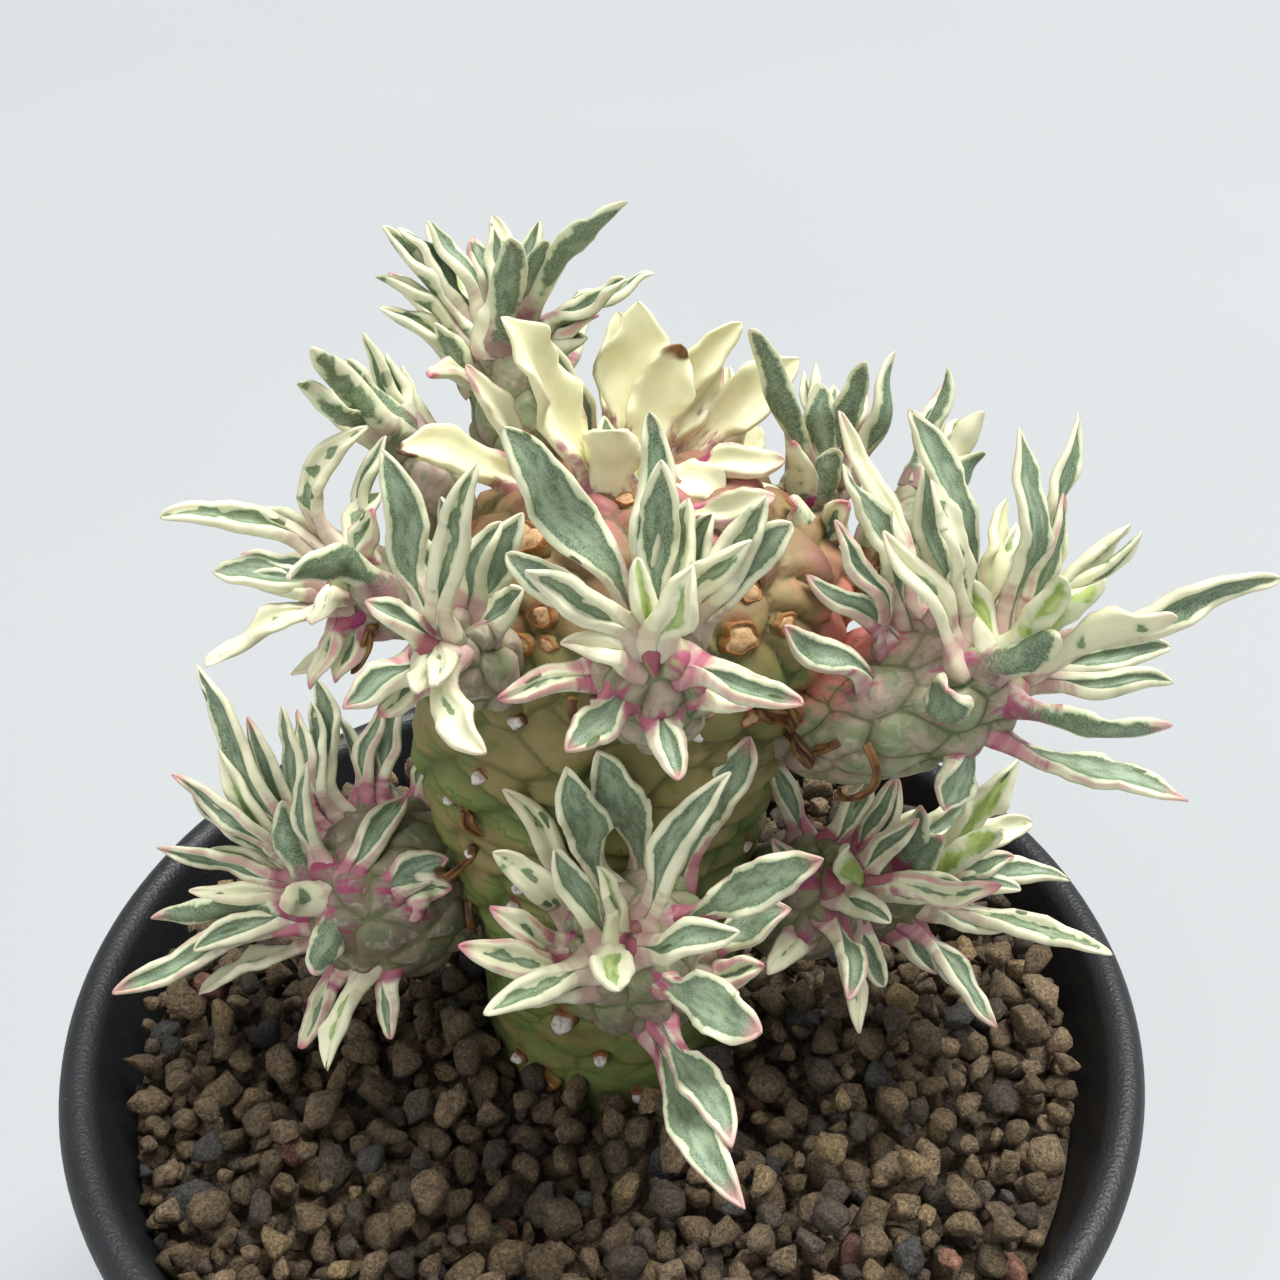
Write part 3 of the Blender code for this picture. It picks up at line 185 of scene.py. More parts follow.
LEAVES = {
    "top_back": (
        leaf((379, 226), (466, 320), 3.0, fold=55, look="dotted"),
        leaf((401, 222), (469, 305), 3.2, fold=18),
        leaf((426, 219), (478, 298), 2.6, behind=True),
        leaf((379, 269), (466, 340), 2.8, fold=60, look="dotted"),
        leaf((380, 304), (446, 360), 2.8, fold=60, look="dotted"),
        leaf((491, 226), (498, 305), 2.4, behind=True),
        leaf((516, 230), (500, 342), 3.4, fold=22),
        leaf((539, 219), (517, 305), 2.4, behind=True),
        leaf((499, 289), (482, 347), 3.0, fold=30, curl=1.0, look="spotted"),
        leaf((546, 238), (519, 318), 2.0),
        leaf((623, 192), (519, 323), 3.0, fold=50),
        leaf((630, 280), (540, 333), 3.2, fold=50),
        leaf((651, 263), (548, 345), 2.4, behind=True),
        leaf((597, 312), (548, 340), 2.2, look="pink"),
        leaf((589, 337), (552, 352), 2.0),
        leaf((427, 376), (470, 376), 2.4, fold=40, long=7.0, look="pink"),
        leaf((414, 311), (440, 372), 2.4, behind=True),
        leaf((436, 322), (455, 372), 2.4, behind=True),
    ),
    "left_back": (
        leaf((362, 332), (416, 410), 1.9, fold=40),
        leaf((384, 353), (418, 425), 2.8, fold=25, look="dark"),
        leaf((307, 349), (398, 437), 2.6, fold=50, look="dotted"),
        leaf((291, 375), (392, 447), 2.2, fold=40, look="dotted"),
        leaf((357, 374), (405, 428), 1.9),
        leaf((314, 405), (385, 452), 2.6, look="spotted"),
        leaf((398, 366), (437, 405), 1.9),
    ),
    "left": (
        leaf((158, 520), (310, 566), 2.8, fold=40, bow=-2.6, curl=-1.0, look="dotted"),
        leaf((211, 572), (305, 575), 3.4, fold=22),
        leaf((242, 578), (300, 593), 2.4),
        leaf((201, 665), (312, 607), 3.0, fold=45, look="cream"),
        leaf((280, 578), (385, 601), 3.6, fold=35, bow=-2.0, nearer=2.0),
        leaf((368, 425), (318, 530), 3.0, fold=40, bow=3.6, look="spotted"),
        leaf((383, 434), (341, 520), 2.2, fold=50),
        leaf((378, 490), (340, 555), 3.4, fold=30, look="spotted"),
        leaf((374, 507), (362, 553), 2.2, look="pink"),
        leaf((307, 689), (328, 624), 2.2, fold=45, look="pink"),
        leaf((334, 683), (347, 639), 2.0, look="pink"),
        leaf((313, 620), (334, 595), 2.4, long=6.0, look="cream"),
    ),
    "front_left": (
        leaf((387, 447), (428, 619), 3.5, fold=20, look="broad"),
        leaf((464, 467), (437, 630), 3.0, fold=50, look="dotted"),
        leaf((504, 521), (464, 611), 2.8, fold=45, curl=-1.5),
        leaf((367, 604), (433, 640), 2.6, fold=40, curl=-1.5, look="edged"),
        leaf((414, 694), (431, 650), 2.2, long=5.5, look="cream"),
        leaf((441, 686), (441, 652), 2.2, long=5.0, look="cream"),
        leaf((483, 756), (454, 658), 3.2, fold=25, bow=-1.6, look="cream"),
        leaf((344, 710), (403, 662), 3.2, fold=35, look="edged"),
        leaf((378, 715), (408, 684), 2.0, look="pink"),
        leaf((525, 588), (489, 623), 2.8, fold=35, long=6.0),
        leaf((521, 510), (478, 600), 3.4, fold=20),
    ),
    "front_upper": (
        leaf((509, 420), (633, 612), 4.7, fold=16, look="broad"),
        leaf((656, 408), (650, 600), 3.0, fold=25, nearer=-4.0),
        leaf((664, 459), (655, 618), 3.6, fold=16),
        leaf((525, 564), (640, 638), 2.8, fold=40, look="dotted"),
        leaf((506, 553), (610, 630), 3.2, fold=18, nearer=-2.0),
        leaf((635, 561), (650, 634), 1.8, look="bright"),
        leaf((692, 569), (655, 648), 3.4, fold=35, look="pale"),
        leaf((774, 498), (690, 605), 3.4, fold=45, look="dotted"),
        leaf((786, 516), (698, 622), 4.0, fold=16),
        leaf((745, 539), (674, 600), 2.8, fold=35, look="dotted"),
        leaf((498, 700), (597, 668), 2.2, fold=40, look="pink"),
        leaf((563, 641), (627, 658), 2.2, fold=55, look="cream"),
        leaf((798, 706), (690, 667), 2.8, fold=40, look="edged"),
        leaf((757, 703), (704, 690), 2.2, fold=40, nearer=-1.5, look="pink"),
        leaf((570, 750), (620, 697), 3.2, fold=22, look="edged"),
        leaf((679, 780), (660, 719), 2.4, fold=30, look="edged"),
    ),
    "front_lower": (
        leaf((602, 744), (646, 871), 5.0, fold=12, look="broad"),
        leaf((561, 772), (605, 887), 4.7, fold=14, look="broad"),
        leaf((717, 772), (642, 924), 3.6, fold=45),
        leaf((760, 736), (690, 863), 4.2, fold=20, look="edged"),
        leaf((829, 853), (678, 924), 4.4, fold=16, look="edged"),
        leaf((788, 905), (715, 946), 3.6, fold=16, nearer=-2.0, look="edged"),
        leaf((738, 934), (635, 950), 3.4, fold=35),
        leaf((617, 991), (609, 948), 4.0, fold=20, curl=-2.0, long=7.5, look="pale"),
        leaf((487, 1010), (591, 966), 3.0, fold=40, look="dotted"),
        leaf((453, 949), (575, 974), 3.2, fold=40, look="pink"),
        leaf((520, 1001), (591, 986), 2.2),
        leaf((506, 782), (578, 885), 2.4, fold=45, look="cream"),
        leaf((496, 848), (570, 915), 2.8, fold=30, look="spotted"),
        leaf((551, 853), (604, 941), 3.2, fold=22),
        leaf((603, 864), (615, 939), 2.2, fold=50, look="bright"),
        leaf((758, 1035), (660, 982), 5.0, fold=12, look="edged"),
        leaf((741, 1143), (660, 1024), 4.2, fold=18, look="edged"),
        leaf((733, 1205), (652, 1032), 4.4, fold=18, look="edged"),
        leaf((490, 910), (568, 956), 2.6, fold=45, curl=-1.2, look="pink"),
        leaf((765, 962), (712, 981), 2.6, fold=45, curl=-1.2, look="pink"),
    ),
    "lower_left": (
        leaf((193, 662), (269, 834), 3.8, fold=30),
        leaf((213, 750), (277, 871), 3.0, fold=35, look="pale"),
        leaf((245, 716), (280, 824), 2.6, fold=40, look="edged"),
        leaf((281, 705), (298, 844), 2.6, fold=30),
        leaf((299, 707), (306, 824), 2.2, fold=45, look="edged"),
        leaf((317, 699), (320, 813), 2.4, fold=45),
        leaf((322, 675), (335, 809), 3.0, fold=22, look="dark"),
        leaf((384, 707), (355, 793), 2.6, fold=45, look="edged"),
        leaf((406, 687), (376, 799), 3.0, fold=45, look="edged"),
        leaf((174, 768), (262, 860), 2.6, fold=45, look="edged"),
        leaf((185, 795), (270, 869), 3.0, fold=30),
        leaf((155, 845), (255, 882), 2.6, fold=40, look="edged"),
        leaf((211, 844), (290, 889), 2.4, fold=50, look="bright"),
        leaf((187, 893), (282, 897), 2.4, fold=45, look="cream"),
        leaf((149, 911), (260, 925), 2.8, fold=35, look="edged"),
        leaf((190, 946), (294, 911), 3.2, fold=40),
        leaf((107, 992), (299, 923), 3.2, fold=40, look="edged"),
        leaf((281, 903), (318, 899), 2.8, fold=40, long=6.0, look="cream"),
        leaf((406, 793), (345, 888), 3.4, fold=40, nearer=3.0, look="edged"),
        leaf((277, 801), (304, 881), 2.6, fold=40),
        leaf((300, 762), (318, 871), 2.6, fold=40),
        leaf((450, 856), (387, 892), 4.0, fold=30, curl=-1.5, nearer=5.5, look="edged"),
        leaf((452, 892), (412, 912), 2.8, fold=45, bow=1.5, nearer=4.5, look="pink"),
        leaf((434, 741), (420, 802), 2.0, fold=40, look="edged"),
        leaf((312, 976), (330, 924), 3.2, fold=25, look="edged"),
        leaf((306, 1051), (341, 972), 2.6, fold=40, curl=-1.2, look="pink"),
        leaf((320, 1070), (366, 972), 3.0, fold=30, look="pale"),
        leaf((390, 1041), (389, 975), 2.0, fold=40, look="edged"),
    ),
    "lower_right": (
        leaf((769, 754), (802, 835), 2.6, fold=30, look="edged"),
        leaf((843, 846), (857, 883), 2.4, fold=50, long=7.0, look="bright"),
        leaf((873, 773), (833, 842), 2.6, fold=30, look="edged"),
        leaf((896, 777), (858, 858), 2.6, fold=35, look="edged"),
        leaf((904, 781), (866, 868), 2.2, fold=40, nearer=-1.5, look="edged"),
        leaf((918, 822), (861, 877), 2.4, fold=40, look="edged"),
        leaf((997, 891), (861, 890), 2.6, fold=35, look="pink"),
        leaf((894, 922), (841, 893), 2.4, fold=50),
        leaf((852, 999), (831, 920), 2.8, fold=30, bow=1.0, look="edged"),
        leaf((857, 1032), (850, 935), 2.2, fold=55, look="cream"),
        leaf((884, 989), (880, 935), 2.6, fold=30),
        leaf((765, 973), (800, 940), 2.0, fold=40, look="cream"),
        leaf((772, 842), (800, 880), 2.2, fold=40, look="edged"),
    ),
    "lower_far_right": (
        leaf((943, 835), (914, 871), 2.6, fold=30, look="edged"),
        leaf((926, 806), (905, 862), 2.8, fold=35, look="edged"),
        leaf((937, 975), (906, 940), 2.6, fold=30, look="edged"),
        leaf((995, 1031), (920, 930), 3.0, fold=30, look="edged"),
        leaf((1004, 930), (929, 909), 3.2, fold=20),
        leaf((1116, 953), (935, 905), 3.0, fold=35, look="dotted"),
        leaf((1018, 760), (935, 860), 4.0, fold=22, look="bright"),
        leaf((1002, 830), (935, 871), 2.8, fold=30, look="bright"),
        leaf((1014, 853), (949, 875), 2.6, fold=30, look="edged"),
        leaf((1022, 886), (950, 883), 2.4, fold=40),
    ),
    "right": (
        leaf((916, 402), (980, 625), 3.8, fold=18),
        leaf((931, 480), (975, 637), 2.8, fold=30, look="spotted"),
        leaf((881, 532), (962, 662), 2.8, fold=50, look="cream"),
        leaf((950, 570), (996, 651), 3.2, fold=30, look="bright"),
        leaf((1076, 578), (1000, 658), 2.8, fold=40, look="bright"),
        leaf((1031, 429), (1002, 634), 4.2, fold=14),
        leaf((1096, 418), (1010, 630), 3.4, fold=30, curl=2.0),
        leaf((1070, 494), (1012, 635), 2.8, fold=30, look="edged"),
        leaf((1146, 534), (1018, 640), 2.6, fold=40, look="dotted"),
        leaf((1112, 581), (1018, 648), 2.4, fold=40, look="bright"),
        leaf((1179, 617), (1030, 664), 3.8, fold=25, look="cream"),
        leaf((1280, 569), (1030, 654), 3.2, fold=40, nearer=-3.0),
        leaf((1063, 635), (988, 668), 3.2, fold=55),
        leaf((802, 578), (894, 640), 2.8, fold=22, look="edged"),
        leaf((781, 631), (867, 685), 3.2, fold=25, look="edged"),
        leaf((839, 464), (905, 625), 3.8, fold=20),
        leaf((924, 462), (938, 618), 3.4, fold=22),
        leaf((837, 409), (915, 615), 2.4, fold=45, nearer=-3.0, look="cream"),
        leaf((839, 521), (885, 640), 2.0, fold=40, look="edged"),
        leaf((1002, 496), (978, 620), 2.8, fold=20, nearer=-4.0, look="yellow"),
        leaf((1173, 727), (1015, 703), 2.8, fold=40, bow=-1.2, look="edged"),
        leaf((1191, 786), (1018, 740), 3.4, fold=20, bow=-1.4, look="edged"),
        leaf((948, 688), (945, 712), 3.8, fold=30, long=5.0, look="edged"),
        leaf((945, 812), (966, 752), 4.0, fold=18, look="edged"),
    ),
    "back_right": (
        leaf((754, 323), (810, 478), 2.4, fold=30),
        leaf((822, 381), (822, 480), 3.4, fold=18),
        leaf((864, 358), (832, 470), 2.8, fold=30),
        leaf((893, 348), (862, 478), 3.2, fold=22),
        leaf((839, 447), (815, 490), 2.2, fold=30),
        leaf((790, 442), (805, 492), 2.0, fold=40, look="pink"),
    ),
    "far_back_right": (
        leaf((954, 368), (915, 470), 2.4, fold=40),
        leaf((939, 394), (925, 470), 2.2, fold=30, look="dark"),
        leaf((983, 410), (945, 465), 2.4, fold=40, look="spotted"),
        leaf((985, 451), (955, 480), 2.0, fold=40),
    ),
    "crown": (
        leaf((504, 319), (598, 478), 5.0, fold=40, look="yellow"),
        leaf((612, 425), (604, 485), 5.2, fold=30, long=8.0, look="yellow"),
        leaf((545, 333), (578, 415), 3.6, fold=20, nearer=-3.0, look="dark"),
        leaf((464, 368), (546, 498), 3.0, fold=35, nearer=1.0, look="peach"),
        leaf((395, 447), (524, 488), 4.0, fold=30, bow=-1.0, nearer=1.0, look="burnt"),
        leaf((647, 300), (632, 452), 5.4, fold=14, look="yellow"),
        leaf((677, 341), (640, 458), 4.8, fold=20, look="burnt"),
        leaf((619, 309), (622, 448), 4.6, fold=20, nearer=-1.0, look="yellow"),
        leaf((738, 317), (648, 446), 3.2, fold=40, look="yellow"),
        leaf((796, 352), (692, 446), 4.6, fold=25, look="yellow"),
        leaf((763, 394), (705, 440), 3.0, fold=30, nearer=-2.0, look="olive"),
        leaf((724, 366), (668, 436), 3.0, fold=30, look="peach"),
        leaf((787, 459), (690, 472), 3.2, fold=30, look="peach"),
        leaf((724, 500), (665, 475), 3.6, fold=25, curl=-1.5, look="yellow"),
        leaf((592, 485), (650, 468), 3.8, fold=18, look="olive"),
        leaf((606, 416), (630, 474), 3.0, fold=20, bow=0.8, nearer=-1.0, look="dark"),
        leaf((774, 496), (681, 520), 2.8, fold=30, look="peach"),
        leaf((748, 581), (845, 556), 4.0, fold=18, look="yellow"),
        leaf((738, 489), (812, 520), 2.8, fold=30, look="peach"),
        leaf((792, 503), (832, 532), 3.4, fold=30, long=7.0, look="pink"),
        leaf((846, 498), (850, 545), 3.2, fold=30, long=8.0, look="pink"),
    ),
}

# What all the leaves share, as the frame has it: how deep a root is sunk, the steepest lean of a leaf to
# or from the eye, the share of its body's axis in the way it leaves, and the form of its narrow stalk
ROOT_SINK = 1.2
STEEPEST_LEAN = 0.75
LEAF_SHARE_OF_AXIS = 0.40
STALK_SHARE = 0.30
STALK_END = 0.08
WIDEST_AT = 0.62
# The spiral rule of the hidden leaves: the turn to the next one, and in degrees their least lean down
# from the growing tip and its spread, which they take up by steps of this share
GOLDEN_TURN = math.radians(137.508)
LEAN_FIRST = 28.0
LEAN_SPREAD = 80.0
LEAN_STEP = 0.137
MOST_TRIES = 90
# A hidden leaf's least length, as a share of what is usual on its growth, its least breadth and its least
# fold, each with its spread
LEAST_REACH, REACH_SPREAD = 0.75, 0.4
LEAST_WIDE, WIDE_SPREAD = 2.3, 1.2
LEAST_FOLD, FOLD_SPREAD = 20, 30
# How far a leaf's tip is moved towards the eye to bend it clear, in millimetres, tried in this order,
# then the gaps that a leaf keeps, and the depth in the crown's ovoid where a root counts as buried
BEND_STEPS = (0, 1, -1, 2, -2, 3, -3, 4, -4, 5, -5, 6, -6, 7, -7)
OWN_BLADE_GAP = 0.33
OTHER_BLADE_GAP = 1.7
BODY_GAP = 1.0
GRIT_GAP = 1.6
RIM_GAP = 6.5
BURIED_DEPTH = 2.0


def unit(vector):
    """The vector at length one."""
    return vector / max(np.linalg.norm(vector), 1e-9)


def sight_line(pixel):
    """Direction from the eye through a pixel of the photograph, one millimetre deep."""
    right = (pixel[0] - PHOTO_SIDE / 2) / FOCAL
    up = (PHOTO_SIDE / 2 - pixel[1]) / FOCAL
    return SIGHT_RIGHT * right + SIGHT_UP * up + SIGHT_AHEAD


def ring_turns(count):
    """Angles of `count` even steps round a full turn."""
    return np.arange(count) / count * 2 * math.pi


class Ovoid:
    """A body about an axis from its seat to its tip: an ellipsoid, with girth as its half width."""

    def __init__(self, growth):
        seat, tip = np.array(growth.seat), np.array(growth.tip)
        self.middle = (seat + tip) / 2
        self.axis = unit(tip - seat)
        self.half = np.linalg.norm(tip - seat) / 2
        self.girth = growth.girth

    def squeeze(self, vector):
        """The vector in the space where the ovoid is a ball of radius one."""
        along = vector @ self.axis
        across = vector - np.multiply.outer(along, self.axis)
        return across / self.girth + np.multiply.outer(along / self.half, self.axis)

    def surface_on(self, line, behind):
        """Where a sight line meets the ovoid, near side or far side, or comes closest to it."""
        start, ahead = self.squeeze(EYE - self.middle), self.squeeze(line)
        a, b, c = ahead @ ahead, start @ ahead, start @ start - 1.0
        room = b * b - a * c
        depth = (-b + (math.sqrt(room) if behind else -math.sqrt(room))) / a if room > 0 else -b / a
        point = EYE + line * depth
        return self.middle + (point - self.middle) / np.linalg.norm(self.squeeze(point - self.middle))

    def outward(self, point):
        """Outward normal at a point of the surface."""
        offset = point - self.middle
        along = offset @ self.axis
        across = offset - self.axis * along
        return unit(across / self.girth ** 2 + self.axis * along / self.half ** 2)

    def leaving(self, outward):
        """The way in which a leaf leaves the body: outward, with a share of the axis."""
        return unit(outward * (1 - LEAF_SHARE_OF_AXIS) + self.axis * LEAF_SHARE_OF_AXIS)

    def level_ways(self):
        """Two directions at right angles to the axis and to each other."""
        level = unit(np.cross(self.axis, SIGHT_RIGHT + 0.1 * SIGHT_UP))
        return level, np.cross(self.axis, level)

    def clearance(self, points):
        """Rough distance of points outside the surface, negative inside."""
        reach = np.linalg.norm(self.squeeze(points - self.middle), axis=-1)
        return (reach - 1.0) * min(self.girth, self.half)


Placed = namedtuple("Placed", "route side wide fold look")


def leaf_route(root, leaving, tip, bow, curl, up):
    """Control points of the midrib: a cubic from root to tip that leaves along `leaving`."""
    chord = tip - root
    length = np.linalg.norm(chord)
    ahead = chord / length
    across = unit(np.cross(ahead, SIGHT_AHEAD))
    first = root + unit(leaving * 0.6 + ahead * 0.7) * length * 0.33 + across * bow / 0.75
    second = tip - ahead * length * 0.33 + across * bow / 0.75 - unit(up) * curl
    return np.array((root, first, second, tip))


def along_route(route, share):
    """Points and directions of a cubic route at shares 0 to 1 of its parameter."""
    s = np.asarray(share)[..., None]
    r = 1.0 - s
    points = r ** 3 * route[0] + 3 * r * r * s * route[1] + 3 * r * s * s * route[2] + s ** 3 * route[3]
    heads = 3 * r * r * (route[1] - route[0]) + 6 * r * s * (route[2] - route[1])
    heads = heads + 3 * s * s * (route[3] - route[2])
    return points, heads / np.maximum(np.linalg.norm(heads, axis=-1, keepdims=True), 1e-9)


def half_width(share, wide):
    """Half breadth of the blade: a narrow stalk, widest at six tenths, then drawn out to a fine point."""
    grow = np.clip((share - STALK_END) / (WIDEST_AT - STALK_END), 0, 1)
    fall = np.clip((share - WIDEST_AT) / (1 - WIDEST_AT), 0, 1)
    body = STALK_SHARE + (1 - STALK_SHARE) * grow ** 2 * (3 - 2 * grow)
    return wide / 2 * body * (1 - fall ** 2.2) * (1 - 0.35 * fall ** 2)


def blade_frame(placed, share):
    """Midrib points, sideways and upper-face directions of a leaf at the given shares."""
    points, heads = along_route(placed.route, share)
    side = placed.side - (heads @ placed.side)[..., None] * heads
    side /= np.maximum(np.linalg.norm(side, axis=-1, keepdims=True), 1e-9)
    return points, side, np.cross(heads, side)


def blade_samples(placed):
    """Points on a leaf's midrib and halves, from a fifth of its length on, to test its clearance."""
    share = np.linspace(0.2, 1.0, 10)
    points, side, upper = blade_frame(placed, share)
    half = half_width(share, placed.wide)[:, None] * 0.85
    fold = math.radians(placed.fold)
    out, lift = side * (half * math.cos(fold)), upper * (half * math.sin(fold))
    return np.concatenate((points, points + out + lift, points - out + lift))


class Garden:
    """Everything placed so far, which a new leaf is bent clear of."""

    def __init__(self, bodies):
        self.bodies = bodies
        self.blades = np.zeros((0, 3))
        self.owner = np.zeros(0, int)

    def room(self, head, placed, own_bodies):
        """Smallest gap from a leaf to the grit, the rim, other bodies, and the leaves placed so far."""
        points = blade_samples(placed)
        gap = np.min(points[:, 2]) - SOIL_LEVEL - GRIT_GAP
        over_rim = np.hypot(points[:, 0], points[:, 1]) - (RIM_RADIUS - RIM_GAP)
        low = points[:, 2] - POT_HEIGHT - BODY_GAP
        gap = min(gap, np.min(np.maximum(-over_rim, low)))
        for name, body in self.bodies.items():
            if name not in own_bodies:
                gap = min(gap, np.min(body.clearance(points)) - BODY_GAP)
        if len(self.blades):
            apart = np.linalg.norm(points[:, None, :] - self.blades[None, :, :], axis=-1)
            need = np.where(self.owner == head, OWN_BLADE_GAP, OTHER_BLADE_GAP)
            gap = min(gap, np.min(apart - need[None, :]))
        return gap

    def plant(self, head, placed):
        """Keep a leaf's samples for the leaves that come later."""
        points = blade_samples(placed)
        self.blades = np.concatenate((self.blades, points))
        self.owner = np.concatenate((self.owner, np.full(len(points), head)))


def turned_to_viewer(side, ahead, face):
    """A blade's sideways direction, turned by the share `face` towards showing its broad side."""
    shown = unit(np.cross(ahead, SIGHT_AHEAD))
    if shown @ side < 0:
        shown = -shown
    return unit(side * (1 - face) + shown * face)


def seen_leaf(spec, body, face, step):
    """A leaf placed by the photograph: its tip stays on its sight line, `step` nearer to the eye."""
    root = body.surface_on(sight_line(spec.root), spec.behind)
    outward = body.outward(root)
    leaving = body.leaving(outward)
    line = sight_line(spec.tip)
    ahead = unit(line)
    if spec.long:
        start = EYE - root
        b, c = start @ ahead, start @ start - spec.long ** 2
        depth = -b - math.sqrt(max(b * b - c, 0.0))
    else:
        square = 1.0 - (leaving @ ahead) ** 2
        gap = root - EYE
        level = gap @ ahead
        depth = (level - (gap @ leaving) * (leaving @ ahead)) / max(square, 0.15)
        spread = np.linalg.norm(EYE + ahead * level - root) * STEEPEST_LEAN
        depth = level + float(np.clip(depth - level, -spread, spread))
    tip = EYE + ahead * (depth - spec.nearer - step)
    radial = root - body.middle - body.axis * ((root - body.middle) @ body.axis)
    side = unit(np.cross(body.axis, unit(radial) + 0.3 * unit(tip - root)))
    side = turned_to_viewer(side, unit(tip - root), face)
    route = leaf_route(root - outward * ROOT_SINK, leaving, tip, spec.bow, spec.curl, body.axis)
    return Placed(route, side, spec.wide, spec.fold, spec.look)


def hidden_leaf(body, lean, turn, reach, wide, fold):
    """A leaf by the spiral rule: `lean` down from the growing tip and `turn` round the axis."""
    level, other = body.level_ways()
    way = level * math.cos(turn) + other * math.sin(turn)
    root = body.middle + body.axis * body.half * math.cos(lean) + way * body.girth * math.sin(lean)
    outward = body.outward(root)
    leaving = body.leaving(outward)
    tip = root + leaving * reach
    route = leaf_route(root - outward * ROOT_SINK, leaving, tip, 0.0, 0.0, body.axis)
    return Placed(route, unit(np.cross(body.axis, way)), wide, fold, None), outward, root


def seen_from_eye(point):
    """Where the photograph would show a point, in its pixels."""
    offset = point - EYE
    right, up = np.array((offset @ SIGHT_RIGHT, offset @ SIGHT_UP)) * (FOCAL / (offset @ SIGHT_AHEAD))
    return np.array((PHOTO_SIDE / 2 + right, PHOTO_SIDE / 2 - up))


def within_outline(point, specs):
    """Whether a point is seen inside the outline that a growth's leaves have in the photograph."""
    turns = ring_turns(24)
    ways = np.stack((np.cos(turns), np.sin(turns)))
    corners = np.array([spec.tip for spec in specs] + [spec.root for spec in specs], float)
    return bool(np.all(seen_from_eye(point) @ ways <= np.max(corners @ ways, axis=0)))


def place_leaves(bodies):
    """Every leaf of every growth: first those that the photograph shows, then the hidden sides."""
    garden = Garden(bodies)
    placed = {name: [] for name in bodies}
    order = {growth: i for i, growths in enumerate(HEADS.values()) for growth in growths}
    order["crown"] = len(HEADS)
    partners = {growth: set(growths) for growths in HEADS.values() for growth in growths}
    partners["crown"] = {"crown"}
    for name, specs in LEAVES.items():
        for spec in specs:
            choices = [seen_leaf(spec, bodies[name], GROWTHS[name].face, step) for step in BEND_STEPS]
            gaps = [garden.room(order[name], choice, partners[name]) for choice in choices]
            clear = [i for i, gap in enumerate(gaps) if gap > 0]
            chosen = choices[clear[0] if clear else int(np.argmax(gaps))]
            garden.plant(order[name], chosen)
            placed[name].append(chosen)
    draw = np.random.default_rng(SEED)
    for name, growth in GROWTHS.items():
        left, index = growth.hidden_leaves, 0
        while left and index < MOST_TRIES:
            lean = math.radians(LEAN_FIRST + LEAN_SPREAD * ((index * LEAN_STEP) % 1.0))
            chance = draw.random(4)
            reach = growth.reach * (LEAST_REACH + REACH_SPREAD * chance[0])
            wide = LEAST_WIDE + WIDE_SPREAD * chance[1]
            fold = LEAST_FOLD + FOLD_SPREAD * chance[2]
            choice, outward, root = hidden_leaf(bodies[name], lean, index * GOLDEN_TURN, reach, wide, fold)
            index += 1
            faces_eye = outward @ unit(EYE - root) > -0.05
            buried = name != "crown" and bodies["crown"].clearance(root[None])[0] < BURIED_DEPTH
            shows = not within_outline(choice.route[3], LEAVES[name])
            if faces_eye or buried or shows:
                continue
            if garden.room(order[name], choice, partners[name]) > 0:
                garden.plant(order[name], choice)
                placed[name].append(choice)
                left -= 1
    return placed


class Parts:
    """Skins that make up one piece: their points, faces, and what the material reads at each point."""

    def __init__(self):
        self.points, self.quads, self.tris, self.layers, self.count = [], [], [], {}, 0

    def add(self, points, quads, tris, **layers):
        """Add a closed skin, turned right side out: its signed volume is made positive."""
        fans = np.concatenate((quads[:, [0, 1, 2]], quads[:, [0, 2, 3]], tris))
        a, b, c = (points[fans[:, k]] for k in range(3))
        if np.einsum("ij,ij->", a, np.cross(b, c)) < 0:
            quads, tris = quads[:, ::-1], tris[:, ::-1]
        self.points.append(points)
        self.quads.append(quads + self.count)
        self.tris.append(tris + self.count)
        self.count += len(points)
        for name, values in layers.items():
            spread = np.broadcast_to(values, (len(points), np.shape(values)[-1]))
            self.layers.setdefault(name, []).append(spread)

    def piece(self, name, material, node, slot):
        """Make the object at the origin, riding on the root body and standing for its node of the frame."""
        points = np.concatenate(self.points) * METRE
        quads, tris = np.concatenate(self.quads), np.concatenate(self.tris)
        mesh = bpy.data.meshes.new(name)
        mesh.vertices.add(len(points))
        mesh.vertices.foreach_set("co", points.ravel())
        sizes = np.concatenate((np.full(len(quads), 4), np.full(len(tris), 3)))
        corners = np.concatenate((quads.ravel(), tris.ravel()))
        starts = np.concatenate(((0,), np.cumsum(sizes)[:-1]))
        mesh.loops.add(len(corners))
        mesh.loops.foreach_set("vertex_index", corners.astype(np.int32))
        mesh.polygons.add(len(sizes))
        mesh.polygons.foreach_set("loop_start", starts.astype(np.int32))
        mesh.update(calc_edges=True)
        mesh.validate()
        for layer, values in self.layers.items():
            values = np.concatenate(values)
            kind, key = ("FLOAT_VECTOR", "vector") if values.shape[1] == 3 else ("FLOAT_COLOR", "color")
            mesh.attributes.new(layer, kind, "POINT").data.foreach_set(key, values.ravel())
        mesh.polygons.foreach_set("use_smooth", np.full(len(sizes), True))
        mesh.materials.append(material)
        piece = bpy.data.objects.new(name, mesh)
        bpy.context.scene.collection.objects.link(piece)
        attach(piece, "root")
        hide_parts(node)
        return piece


